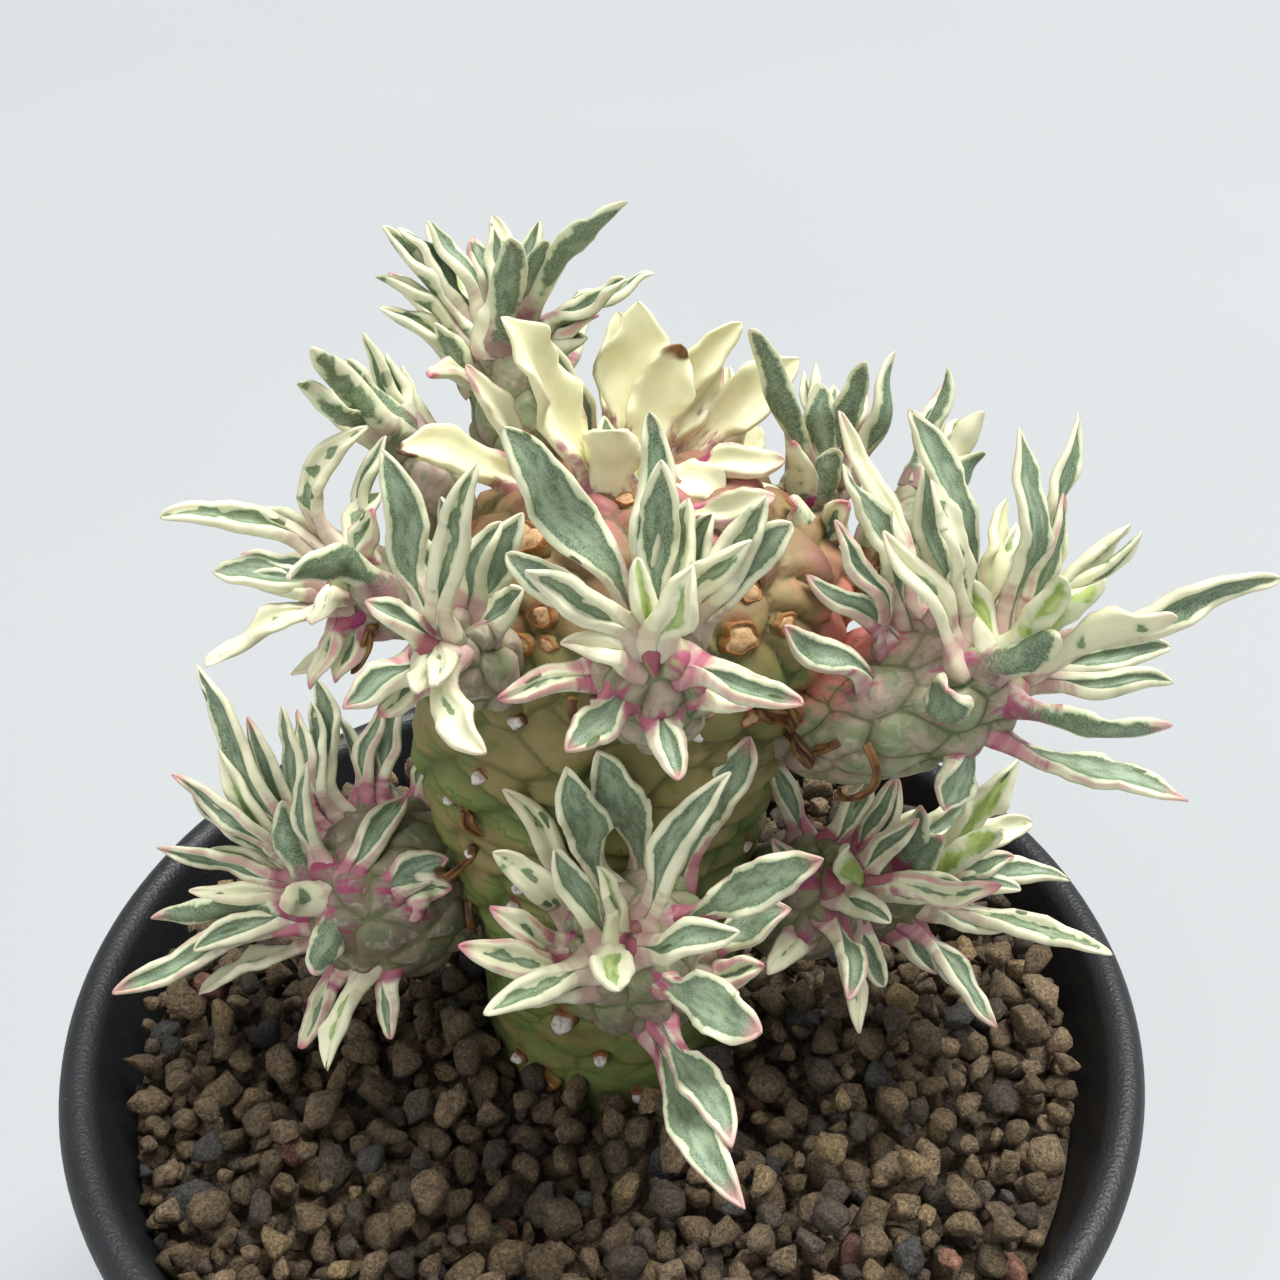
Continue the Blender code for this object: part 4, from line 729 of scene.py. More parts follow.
def tube_faces(rows, around):
    """Quads between the rings of a tube, and the triangles that close it on two last points."""
    ring = np.arange(rows * around).reshape(rows, around)
    after = np.roll(ring, -1, axis=1)
    quads = np.stack((ring[:-1], after[:-1], after[1:], ring[1:]), -1).reshape(-1, 4)
    start = np.stack((after[0], ring[0], np.full(around, rows * around)), -1)
    end = np.stack((ring[-1], after[-1], np.full(around, rows * around + 1)), -1)
    return quads, np.concatenate((start, end))


def capped_tube(points, rows, around, **layers):
    """A skin of rings, closed on the middles of its first and last ring, with what its material reads."""
    quads, tris = tube_faces(rows, around)
    ends = points.reshape(rows, around, 3)[[0, -1]].mean(axis=1)
    capped = {name: np.concatenate((values, values[[0, -1]])) for name, values in layers.items()}
    return dict(points=np.concatenate((points, ends)), quads=quads, tris=tris, **capped)


def ripple(points, size, seed):
    """A smooth irregular field from -1 to 1: the mean of sine waves of about `size` in drawn directions."""
    draw = np.random.default_rng(seed)
    waves = 7
    ways = draw.normal(size=(waves, 3))
    ways *= (2 * math.pi / size * draw.uniform(0.7, 1.5, waves) / np.linalg.norm(ways, axis=1))[:, None]
    phases = draw.uniform(0, 2 * math.pi, waves)
    total = np.zeros(points.shape[:-1])
    for way, phase in zip(ways, phases):
        total += np.sin(points @ way + phase)
    return total / waves * 1.8


def soft_step(x):
    """From 0 to 1 as x goes from 0 to 1, level at both ends."""
    x = np.clip(x, 0, 1)
    return x * x * (3 - 2 * x)


# Blades
BLADE_STATIONS = 28
BLADE_STEPS = 10
BLADE_END = 0.985
# How much the stations draw together towards both ends of a leaf
STATION_CROWDING = 0.09
BLADE_ROOT_THICK = 1.25
BLADE_TIP_THICK = 0.70
# The swollen foot that a leaf grows from: its added half breadth and thickness, and how far up it reaches
FLARE_HALF = 1.0
FLARE_THICK = 1.5
FLARE_REACH = 2.6
# A real leaf's stalk as a share of its breadth, and how much more a broad crown leaf's is
SLIM_STALK = 0.23
BROAD_STALK = 0.32
# Where along the leaf its blade begins to open, and where it has its full breadth
BLADE_BEGINS = 0.14
BLADE_FULL = 0.57
# How a leaf departs from its smooth route: sway and nod of its midrib, and hook and veer of its last
# part, as shares of its length, its twist in degrees, and the spread of its breadth and of its end's form
MOST_SWAY = 0.06
MOST_NOD = 0.08
HOOK = (-0.08, 0.04)
VEER = (-0.05, 0.05)
HOOK_FROM = 0.72
MOST_TWIST = 32
BREADTH_SPREAD = (0.97, 1.08)
END_SHARPNESS = (0.42, 0.88)
# Notches of the margins: their depth and how many there are in two waves, and the share of the leaf
# from its root over which they and the ruffles come in
NOTCH_DEPTH = 0.05
NOTCHES = (2.3, 5.9)
NOTCHED_FROM = 0.30
RUFFLED_FROM = 0.35
# Ruffles of the margins: the length of one in millimetres and its rise as a share of the half breadth
RUFFLE_LENGTH = (5.5, 9.0)
RUFFLE_RISE = (0.10, 0.34)
# The rounded margin: how much thicker it is, how far out it lies and how broad it is
RIM_BULGE = 0.45
RIM_PLACE = 0.86
RIM_BREADTH = 0.14
# The share of the thickness above the midrib's surface, and the groove over and under the midrib
UPPER_SHARE = 0.35
GROOVE_BREADTH = 0.2
UPPER_GROOVE = 0.14
LOWER_GROOVE = 0.16
# How much broader a cream crown leaf is than its place in the frame, and how ragged its end
CROWN_FULLNESS = 0.20
CROWN_RAGS = 0.08
# The least margin of cream, and how deep a leaf's back shows its edge's colours next to its face
LEAST_MARGIN = 0.10
BACK_DEPTH = 0.7
# The margin is kept as a share of this many millimetres, because a colour layer holds 0 to 1
MARGIN_PACKING = 4.0
# The share of its thickness that a dried leaf has lost
DRIED_AWAY = 0.6


def leaf_outline(share, wide, stalk, sharp):
    """Half breadth of a real leaf: a slim stalk that opens into an oval blade.

    From its full breadth on, the blade closes as one less a power of the way to the tip, all raised
    to the power `sharp`: about a half gives a round end, and one or more a drawn-out point.
    """
    body = stalk + (1 - stalk) * soft_step((share - BLADE_BEGINS) / (BLADE_FULL - BLADE_BEGINS))
    closing = np.clip((share - BLADE_FULL) / (1 - BLADE_FULL), 0, 1)
    return wide / 2 * body * (1 - closing ** 2.1) ** sharp


def blade_midrib(placed, s, draw):
    """Midrib points, sideways and upper-face directions of a leaf at the shares `s`, and its length.

    To the smooth route come sine waves to the side and up and down, which fade out at both ends, and
    a last part that hooks and veers away with the square of its way. The blade turns evenly about it.
    """
    points, side, upper = blade_frame(placed, s[:, 0] * BLADE_END)
    length = float(np.linalg.norm(np.diff(points, axis=0), axis=1).sum())

    def meander(most, most_waves):
        amount, waves, phase = draw.uniform(-most, most), draw.uniform(0.6, most_waves), draw.uniform(0, 6)
        return amount * length * np.sin(2 * math.pi * s * waves + phase) * np.sin(math.pi * s) ** 2

    sway, nod = meander(MOST_SWAY, 1.1), meander(MOST_NOD, 1.2)
    end = length * np.clip((s - HOOK_FROM) / (1 - HOOK_FROM), 0, 1) ** 2
    hook, veer = draw.uniform(*HOOK) * end, draw.uniform(*VEER) * end
    points = points + side * (sway + veer) + upper * (nod + hook)
    twist = math.radians(draw.uniform(-MOST_TWIST, MOST_TWIST)) * (s - 0.25)
    turned_side = side * np.cos(twist) + upper * np.sin(twist)
    turned_upper = upper * np.cos(twist) - side * np.sin(twist)
    return points, turned_side, turned_upper, length


def blade_breadth(placed, look, s, v, flare, draw):
    """Half breadth of a leaf at each point: its outline, its swollen foot and its notches, which are two
    sine waves along each margin. The phases that are drawn with them serve the ruffles too."""
    stalk = SLIM_STALK + BROAD_STALK * look.yellow ** 2
    wide = placed.wide * draw.uniform(*BREADTH_SPREAD) * (1 + CROWN_FULLNESS * look.yellow ** 2)
    half = leaf_outline(s, wide, stalk, draw.uniform(*END_SHARPNESS)) + FLARE_HALF * flare
    phases = draw.uniform(0, 2 * math.pi, 6)
    lobe = np.sign(v)
    notches = np.sin(2 * math.pi * NOTCHES[0] * s + phases[0] + lobe)
    notches = notches + 0.6 * np.sin(2 * math.pi * NOTCHES[1] * s + phases[1] - 2 * lobe)
    ragged = NOTCH_DEPTH + CROWN_RAGS * look.yellow * s ** 2
    return half * (1 + ragged * notches * np.abs(v) * np.clip(s / NOTCHED_FROM, 0, 1)), phases


def blade_trough(placed, s, v, half, length, phases, draw):
    """How far out and up a leaf's section reaches, and its slope there.

    The slope of each half grows evenly from a quarter of the fold at the midrib to 1.75 folds at the
    margin, and the margins rise and fall in two sine waves.
    """
    fold = np.maximum(math.radians(placed.fold) * (1.25 - 0.6 * s + 0.4 * s ** 4), 0.06)
    start, turned = fold * 0.25, fold * 1.5
    slope = start + turned * np.abs(v)
    across = half * (np.sin(slope) - np.sin(start)) / turned
    lift = half * (np.cos(start) - np.cos(slope)) / turned
    count = max(length / draw.uniform(*RUFFLE_LENGTH), 1.0)
    lobe = np.sign(v)
    wave = np.sin(2 * math.pi * count * s + phases[2] + 1.9 * lobe)
    wave = wave + 0.45 * np.sin(2 * math.pi * 2.2 * count * s + phases[3] - lobe)
    lift = lift + half * v ** 2 * draw.uniform(*RUFFLE_RISE) * wave * np.clip(s / RUFFLED_FROM, 0, 1)
    return across, lift, slope


def blade_thickness(s, v, flare, fresh):
    """Thickness of a leaf at each point: thinner towards the tip and thickest near the rounded margins."""
    thick = (BLADE_ROOT_THICK * (1 - s) + BLADE_TIP_THICK * s) * (1 - DRIED_AWAY * (1 - fresh))
    thick = (thick + FLARE_THICK * flare) * (1 - 0.7 * s ** 6) * np.sqrt(np.clip(1 - v ** 6, 0, 1))
    return thick * (1 + RIM_BULGE * np.exp(-((np.abs(v) - RIM_PLACE) / RIM_BREADTH) ** 2) * (1 - flare))


def blade_skin(placed, look, number):
    """A leaf's closed skin, with what its material reads.

    Each section across the midrib is a folded trough, whose lower face lies a thickness below the
    upper. It is one ring of points: `v` goes from the left margin at -1 over the upper face to the
    right margin at 1, and back under the lower face, where `face` is -1.
    """
    draw = np.random.default_rng((SEED, number))
    t = np.linspace(0, 1, BLADE_STATIONS)
    s = (t - STATION_CROWDING * np.sin(2 * math.pi * t))[:, None]
    points, side, upper, length = blade_midrib(placed, s, draw)
    step = np.linspace(-math.pi / 2, math.pi / 2, BLADE_STEPS + 1)
    v = np.concatenate((np.sin(step), np.sin(step[-2:0:-1])))[None, :]
    face = np.concatenate((np.ones(BLADE_STEPS + 1), -np.ones(BLADE_STEPS - 1)))[None, :]
    face[0, [0, BLADE_STEPS]] = 0.0
    fresh = 1 - np.clip(look.scorch - 1, 0, 1)
    flare = np.exp(-(s * length / FLARE_REACH) ** 2) * fresh

    half, phases = blade_breadth(placed, look, s, v, flare, draw)
    across, lift, slope = blade_trough(placed, s, v, half, length, phases, draw)
    thick = blade_thickness(s, v, flare, fresh)
    offset = np.where(face > 0, UPPER_SHARE, UPPER_SHARE - 1) * thick
    groove = np.exp(-(v / GROOVE_BREADTH) ** 2) * (1 - 0.8 * s) * (1 - flare)
    offset = offset - UPPER_GROOVE * groove * (face > 0) - LOWER_GROOVE * groove * (face < 0)
    out = across * np.sign(v) - np.sin(slope) * np.sign(v) * offset
    rise = lift + np.cos(slope) * offset
    skin = points[:, None, :] + side[:, None, :] * out[..., None] + upper[:, None, :] * rise[..., None]
    ends = np.stack((points[0], skin[-1].mean(axis=0) + (points[-1] - points[-2]) * 0.2))

    shape = skin.shape[:2]
    inward = half * (1 - np.abs(v)) * np.where(face < 0, BACK_DEPTH, 1)
    blade = np.stack((inward, s + 0 * v, np.broadcast_to(face, shape)), -1).reshape(-1, 3)
    grain = np.stack((half * v, s * length + 0 * v, np.full(shape, number * LEAF_GRAIN_STEP)), -1)
    grain = grain.reshape(-1, 3)
    margin = look.margin * placed.wide / 2 + LEAST_MARGIN
    count = len(blade) + 2
    return dict(
        points=np.concatenate((skin.reshape(-1, 3), ends)),
        blade=np.concatenate((blade, blade[[0, -1]])),
        grain=np.concatenate((grain, grain[[0, -1]])),
        look_a=np.broadcast_to((margin / MARGIN_PACKING, look.stalk, look.edge, look.young), (count, 4)),
        look_b=np.broadcast_to((look.yellow, look.specks, look.tip, look.scorch), (count, 4)),
    )


# Knobbly bodies
KNOB_SPACING = 4.9
KNOB_LENGTH = 1.75
KNOB_RISE = 0.75
KNOB_TILT = 0.4
KNOB_WARP = 0.5
KNOB_SINK = 0.6
CREASE_BREADTH = 1.0
CONE_RISE = 0.7
CONE_BREADTH = 1.6
# Knobs between the leaves: how many more than evenly spaced ones, and their least room from a leaf's root
FILLER_SHARE = 1.15
FILLER_ROOM = 0.68 * KNOB_SPACING
# How far a leaf's root lies above the middle of its knob
ROOT_LIFT = 0.7
# The flush round a leaf's root: its half breadth, and its reach down and up the body
BLUSH_HALF = 0.8
BLUSH_DOWN = 3.2
BLUSH_UP = 1.1
# Steps between the grains of neighbours, so that no two leaves or knobs have the same pattern
LEAF_GRAIN_STEP = 7.3
KNOB_GRAIN_STEP = 3.7


def nearest_two(points, seeds, measure):
    """Distance of each point to its nearest and second nearest seed, and which two they are."""
    first, second, which = [], [], []
    for part in np.array_split(points, max(len(points) * len(seeds) // 2000000, 1)):
        apart = measure(part[:, None, :] - seeds[None, :, :])
        order = np.argpartition(apart, 1, axis=1)[:, :2]
        pair = np.take_along_axis(apart, order, axis=1)
        swap = pair[:, 0] > pair[:, 1]
        which.append(np.where(swap[:, None], order[:, ::-1], order))
        first.append(pair.min(axis=1))
        second.append(pair.max(axis=1))
    return np.concatenate(first), np.concatenate(second), np.concatenate(which)


def ovoid_surface(body, lean, turn):
    """Points and outward directions of a head's ovoid, `lean` down from its growing tip and `turn` round."""
    level, other = body.level_ways()
    way = level * np.cos(turn)[..., None] + other * np.sin(turn)[..., None]
    points = body.middle + body.axis * (body.half * np.cos(lean))[..., None]
    points = points + way * (body.girth * np.sin(lean))[..., None]
    outward = way * (np.sin(lean) / body.girth)[..., None]
    outward = outward + body.axis * (np.cos(lean) / body.half)[..., None]
    return points, outward / np.linalg.norm(outward, axis=-1, keepdims=True)


def knob_middles(body, roots, number):
    """Middles of a head's knobs: under each leaf's root, and on a golden-angle spiral between the roots."""
    area = 4 * math.pi * body.girth * (body.girth + 2 * body.half) / 3
    count = int(area / KNOB_SPACING ** 2 * FILLER_SHARE)
    index = np.arange(count)
    fillers, _ = ovoid_surface(body, np.arccos(1 - 2 * (index + 0.5) / count), index * GOLDEN_TURN + number)
    far = np.linalg.norm(fillers[:, None] - roots[None], axis=-1).min(axis=1) > FILLER_ROOM
    return np.concatenate((roots - body.axis * ROOT_LIFT, fillers[far]))


def head_skin(body, roots, number):
    """A head's body: an ovoid raised into rounded knobs, one at each leaf's root and more between them.

    The height over the ovoid is set by how much nearer a point is to its own knob's middle than to
    the next one's, so the creases lie half way between the knobs, and each knob stands out more at
    its upper end. A cone rises from each knob that carries a leaf, and a flush runs down from its root.
    """
    around = int(78 + 6 * body.girth)
    rows = int(around * 0.72)
    seeds = knob_middles(body, roots, number)

    def measure(offset):
        along = offset @ body.axis
        return np.sqrt(np.maximum((offset ** 2).sum(-1) - along ** 2, 0) + (along / KNOB_LENGTH) ** 2)

    lean = np.linspace(math.pi, 0, rows + 2)
    lean[0], lean[-1] = math.pi - 0.02, 0.02
    points, outward = ovoid_surface(body, *np.meshgrid(lean, ring_turns(around), indexing="ij"))
    points, outward = points.reshape(-1, 3), outward.reshape(-1, 3)
    warp = np.stack([ripple(points, 6.0, number + k) for k in (1, 2, 3)], -1) * KNOB_WARP
    near, after, pair = nearest_two(points + warp, seeds, measure)
    which, second = pair.T
    apart = after - near

    offset = points[:, None] - roots[None]
    owner = np.linalg.norm(offset, axis=-1).argmin(axis=1)
    offset = offset[np.arange(len(points)), owner]
    along = offset @ body.axis
    across = np.einsum("ij,ij->i", offset, np.cross(outward, body.axis))
    cone = np.exp(-(np.linalg.norm(offset, axis=1) / CONE_BREADTH) ** 1.6)
    cone = cone * (which < len(roots)) * np.clip(apart / 0.6, 0, 1)
    tilt = 1 + KNOB_TILT * np.clip((points - seeds[which]) @ body.axis / 3.0, -1, 1)
    rise = KNOB_RISE * (1 - np.exp(-apart / CREASE_BREADTH)) * tilt - KNOB_SINK + CONE_RISE * cone
    points = points + outward * (rise + 0.12 * ripple(points, 2.6, number))[:, None]
    reach = np.where(along < 0, along / BLUSH_DOWN, along / BLUSH_UP)
    blush = np.exp(-(across / BLUSH_HALF) ** 2 - reach ** 2)
    side = np.where(which > second, apart, -apart)
    knob = np.stack((side, blush, np.repeat(1 - lean / math.pi, around), apart), -1)
    grain = np.stack((across, along, owner * KNOB_GRAIN_STEP), -1)
    return capped_tube(points, rows + 2, around, knob=knob, grain=grain)


# The trunk
TRUNK_AROUND = 300
TRUNK_ROWS = 190
SCALES_AROUND = 11
SCALE_ROWS = 38
SCALE_TWIST = -0.45
SCALE_JITTER = 0.6
SCALE_RISE = 1.1
SCALE_SINK = 0.55
SCALE_WARP = 0.8
# How much wider than high a scale is down the trunk, and a knob is at the crown
SCALE_STRETCH = 2.3
KNOB_STRETCH = 1.1
CREASE_FADE_FROM = 6.0
CREASE_FADE_TO = 22.0
FAINTEST_CREASE = 0.22
# Between these heights the scales give way to round knobs
SCALES_END = 138.0
KNOBS_FROM = 152.0
# The room that a leaf's root or a pink knob has from the scales' middles
SCALE_ROOM = 2.2
# What rises at a leaf's root and at a pink knob: its height and its half breadth
NIPPLE_RISE, NIPPLE_HALF = 0.7, 1.2
BUD_RISE, BUD_HALF = 0.9, 2.0
# The part of the crown's top where only a quarter of the scales stand
CROWN_BARE = 4.0
# How far from the eye a sight line is searched for the trunk
TRUNK_DEPTHS = np.arange(115.0, 215.0, 0.3)


def trunk_surface(share, turn):
    """Points and outward directions of the smooth trunk: its levels to the shoulder, then a dome."""
    levels = np.array(TRUNK_LEVELS)
    steps = np.concatenate(((0.0,), np.cumsum(np.hypot(np.diff(levels[:, 0]), np.diff(levels[:, 3])))))
    foot, side_run = levels[0, 3], steps[-1]
    run = share * (foot + side_run + CROWN_RUN) - foot
    level = np.stack([np.interp(run, steps, levels[:, i]) for i in range(5)], -1)
    rise = np.clip((run - side_run) / CROWN_RUN, 0, 1) * math.pi / 2
    under = np.clip(1 + run / foot, 0, 1) * np.cos(rise)
    height = level[..., 0] + CROWN_RISE * np.sin(rise)
    flat = np.stack((np.cos(turn), np.sin(turn), 0 * turn), -1)
    middle = np.stack((level[..., 1], level[..., 2], height), -1)
    half = np.stack((level[..., 3] * under, level[..., 4] * under, 0 * under), -1)
    slope = np.where(run < 0, -1.0, np.sin(rise))[..., None]
    outward = flat * np.sqrt(1 - slope ** 2) + slope * np.array((0, 0, 1.0))
    return middle + flat * half, outward


def trunk_grid(share, turn):
    """Points and outward directions of the smooth trunk at every share and turn, in one list each."""
    points, outward = trunk_surface(*np.meshgrid(share, turn, indexing="ij"))
    return points.reshape(-1, 3), outward.reshape(-1, 3)


def trunk_scales():
    """Middles of the trunk's scales, in staggered rows that wind round it."""
    row, k = np.meshgrid(np.arange(1, SCALE_ROWS), np.arange(SCALES_AROUND), indexing="ij")
    turn = (2 * k + row % 2 + SCALE_TWIST * row) / (2 * SCALES_AROUND) * 2 * math.pi
    middles, outward = trunk_surface(row / SCALE_ROWS, turn)
    middles, outward = middles.reshape(-1, 3), outward.reshape(-1, 3)
    draw = np.random.default_rng(SEED + 3)
    keep = middles[:, 2] > SOIL_LEVEL - 4
    thin = (middles[:, 2] < CROWN_TOP - CROWN_BARE) | (draw.random(len(middles)) < 0.25)
    middles, outward = middles[keep & thin], outward[keep & thin]
    return middles + draw.normal(0, SCALE_JITTER, middles.shape), outward


def scar_stain(points, scars):
    """How far the scars have stained each point: a bell round a place half a scar's size above each."""
    stain = np.zeros(len(points))
    for middle, _, size, _ in scars:
        offset = points - middle
        level = np.hypot(offset[:, 0], offset[:, 1]) / (1.1 * size)
        stain = np.maximum(stain, np.exp(-level ** 2 - ((offset[:, 2] - 0.5 * size) / (1.5 * size)) ** 2))
    return stain


def trunk_skin(crown_roots, scars):
    """The trunk's skin, raised into lens-shaped scales wider than high, with leaves' roots among them.

    As on the heads, the height over the smooth trunk is set by how much nearer a point is to its own
    scale's middle than to the next one's. Towards the crown the scales grow as high as wide, and round
    pink knobs stand among them. What the scars have stained is kept for the material.
    """
    share = np.linspace(0.02, 0.999, TRUNK_ROWS)
    points, outward = trunk_grid(share, ring_turns(TRUNK_AROUND))
    buds = np.array([on_trunk(pixel)[0] for pixel in PINK_KNOBS])
    leafy_count, round_count = len(crown_roots), len(crown_roots) + len(buds)
    middles, _ = trunk_scales()
    taken = np.concatenate((crown_roots, buds))
    far = np.linalg.norm(middles[:, None] - taken[None], axis=-1).min(axis=1) > SCALE_ROOM
    seeds = np.concatenate((taken, middles[far]))
    lower = soft_step((KNOBS_FROM - seeds[:, 2]) / (KNOBS_FROM - SCALES_END))
    stretch = KNOB_STRETCH + (SCALE_STRETCH - KNOB_STRETCH) * lower

    def measure(offset):
        wide = (offset[..., 0] ** 2 + offset[..., 1] ** 2) / stretch ** 2
        return np.sqrt(wide + offset[..., 2] ** 2)

    warp = np.stack([ripple(points, 8.0, SEED + k) for k in (11, 12, 13)], -1) * SCALE_WARP
    near, after, pair = nearest_two(points + warp, seeds, measure)
    which, second = pair.T
    apart = after - near
    fade = (points[:, 2] - SOIL_LEVEL - CREASE_FADE_FROM) / (CREASE_FADE_TO - CREASE_FADE_FROM)
    fade = np.clip(fade, FAINTEST_CREASE, 1.0)
    nipple = np.exp(-(near / NIPPLE_HALF) ** 2) * (which < leafy_count)
    bud = np.exp(-(near / BUD_HALF) ** 2) * ((which >= leafy_count) & (which < round_count))
    tilt = np.clip((points[:, 2] - seeds[which][:, 2]) / 2.2, -1, 1)
    rise = SCALE_RISE * (1 - np.exp(-apart / 1.3)) * fade * (1 - 0.5 * tilt) - SCALE_SINK
    rise = rise + NIPPLE_RISE * nipple + BUD_RISE * bud
    rise = rise + 0.25 * ripple(points, 9.0, SEED) + 0.07 * ripple(points, 2.2, SEED + 1)
    points = points + outward * rise[:, None]
    height = np.clip((points[:, 2] - SOIL_LEVEL) / (CROWN_TOP - SOIL_LEVEL), 0, 1)
    side = np.where(which > second, apart, -apart) / fade
    knob = np.stack((side, nipple, height, apart / fade), -1)
    mark = np.stack((scar_stain(points, scars), bud, 0 * bud), -1)
    return capped_tube(points, TRUNK_ROWS, TRUNK_AROUND, knob=knob, mark=mark)


def on_trunk(pixel):
    """The point of the trunk that the photograph shows at a pixel, found by stepping along its sight line."""
    points = EYE + unit(sight_line(pixel)) * TRUNK_DEPTHS[:, None]
    skin, outward = trunk_grid(np.linspace(0.05, 0.995, 160), ring_turns(96))
    offset = points[:, None, :] - skin[None, :, :]
    near = (offset ** 2).sum(-1).argmin(axis=1)
    depth = np.einsum("ij,ij->i", points - skin[near], outward[near])
    inside = np.flatnonzero(depth < 0)
    hit = int(inside[0]) if len(inside) else int(np.abs(depth).argmin())
    return skin[near[hit]], outward[near[hit]]


# Scars of fallen leaves that the photograph shows on the trunk: place in its pixels, size in millimetres
PALE_SCARS = (
    ((517, 717), 1.0), ((486, 780), 1.1), ((473, 855), 0.8), ((515, 884), 1.0), ((516, 905), 1.1),
    ((566, 1021), 1.7), ((520, 1056), 1.0), ((601, 1061), 1.1), ((548, 1097), 1.0), ((634, 1097), 0.9),
    ((744, 845), 1.0), ((732, 1050), 0.9), ((600, 700), 0.8), ((690, 735), 0.8), ((455, 800), 0.8),
)
BROWN_SCARS = (
    ((466, 535), 1.6), ((529, 539), 2.2), ((496, 582), 1.2), ((544, 618), 1.4), ((525, 646), 1.3),
    ((552, 643), 0.9), ((748, 590), 1.3), ((739, 639), 1.9), ((784, 621), 1.2), ((773, 703), 1.3),
    ((747, 719), 1.2), ((704, 711), 1.1), ((548, 1080), 1.6), ((625, 500), 1.0), ((735, 525), 1.1),
)
# Pinkish knobs of the trunk's crown, in the photograph's pixels
PINK_KNOBS = (
    (487, 489), (468, 504), (422, 504), (602, 509), (606, 535), (700, 451), (736, 485), (575, 470),
    (560, 507), (640, 520), (668, 498), (702, 540), (748, 548), (800, 556),
)
# The scars of the hidden sides: how many, their size, how far they stand out of the smooth trunk, and how
# high above the soil all of them would be brown
HIDDEN_SCARS = 45
HIDDEN_SCAR_SIZE = (0.8, 1.3)
HIDDEN_SCAR_LIFT = 0.2
BROWN_RISE = 90
SCAR_SIZE = 0.85
SCAR_AROUND = 20
# A scar's outline from its middle out, as shares of its size: a pale button that stands out of a
# shallow collar, or a corky cup round a low plug
BUTTON_PROFILE = ((0.0, 1.10), (0.30, 1.06), (0.52, 0.94), (0.66, 0.72), (0.72, 0.46), (0.74, 0.20),
                  (0.80, 0.08), (0.90, -0.05), (0.98, -0.5))
CUP_PROFILE = ((0.0, 0.42), (0.40, 0.48), (0.66, 0.38), (0.78, 0.22), (0.84, 0.22), (0.93, 0.38),
               (1.00, 0.36), (1.08, 0.14), (1.16, -0.15), (1.24, -0.5))
# A scar's height, the depth of its root and its breadths, as shares of its size, and how uneven it is
SCAR_HEIGHT = 0.9
SCAR_ROOT = 0.8
SCAR_WIDE, SCAR_HIGH = 1.12, 0.88
SCAR_UNEVEN = (0.04, 0.11)
SCAR_BUMPS = 0.10
SCAR_GRAIN_STEP = 3.7


def scar_skin(middle, outward, size, number, brown):
    """A pale button or a corky cup on the trunk: a profile turned about the outward direction.

    Its radius is uneven by waves of two, three and five turns, so that it has blunt corners.
    """
    profile = np.array(CUP_PROFILE if brown else BUTTON_PROFILE)
    draw = np.random.default_rng((SEED, 5, number))
    turn = ring_turns(SCAR_AROUND)
    side = unit(np.cross(outward, (0.1, 0.2, 1.0)))
    other = np.cross(outward, side)
    uneven = sum(draw.uniform(*SCAR_UNEVEN) * np.cos(n * turn + draw.uniform(0, 6)) for n in (2, 3, 5))
    ring = side * np.cos(turn)[:, None] * SCAR_WIDE + other * np.sin(turn)[:, None] * SCAR_HIGH
    ring = ring * (1 + uneven)[:, None]
    radius, height = profile[1:, 0, None, None], profile[1:, 1, None, None]
    points = ring[None] * radius * size + outward * height * size * SCAR_HEIGHT
    bumps = ripple(points + number * 3.1, 1.1 * size, SEED + 5)
    points = points * (1 + SCAR_BUMPS * bumps[..., None]) + middle
    quads, tris = tube_faces(len(profile) - 1, SCAR_AROUND)
    top = middle + outward * profile[0, 1] * size * SCAR_HEIGHT
    ends = np.stack((top, middle - outward * SCAR_ROOT * size))
    share = np.concatenate((np.repeat(profile[1:, 0], SCAR_AROUND), (0.0, 1.5)))
    same = np.full(share.shape, 1.0)
    cup = np.stack((share, same * brown, same * number * SCAR_GRAIN_STEP), -1)
    return dict(points=np.concatenate((points.reshape(-1, 3), ends)), quads=quads, tris=tris, cup=cup)


def scar_places():
    """Middle, outward direction, size and brownness of the scars, seen ones and some on hidden sides."""
    found = []
    for places, brown in ((PALE_SCARS, 0.0), (BROWN_SCARS, 1.0)):
        for pixel, size in places:
            found.append((*on_trunk(pixel), size * SCAR_SIZE, brown))
    draw = np.random.default_rng(SEED + 4)
    middles, outward = trunk_scales()
    hidden = (outward @ np.array((0.0, -1.0, 0.3)) < 0.15) & (middles[:, 2] > SOIL_LEVEL + 3)
    chosen = draw.choice(np.flatnonzero(hidden), min(HIDDEN_SCARS, int(hidden.sum())), replace=False)
    for i in chosen:
        brown = float(draw.random() < (middles[i, 2] - SOIL_LEVEL) / BROWN_RISE)
        place = middles[i] + outward[i] * HIDDEN_SCAR_LIFT
        found.append((place, outward[i], draw.uniform(*HIDDEN_SCAR_SIZE), brown))
    return found


def trunk_scars(scars):
    """Every scar's skin."""
    parts = Parts()
    for number, (middle, outward, size, brown) in enumerate(scars):
        parts.add(**scar_skin(middle, outward, size, number, brown))
    return parts


# The coral flush between the crown and the right head: its middle, how far it is full and where it ends,
# and how far its edge wanders
CORAL_MIDDLE = (22.0, -3.0, 153.0)
CORAL_FULL = 10.0
CORAL_END = 16.0
CORAL_RAGS = 12.0
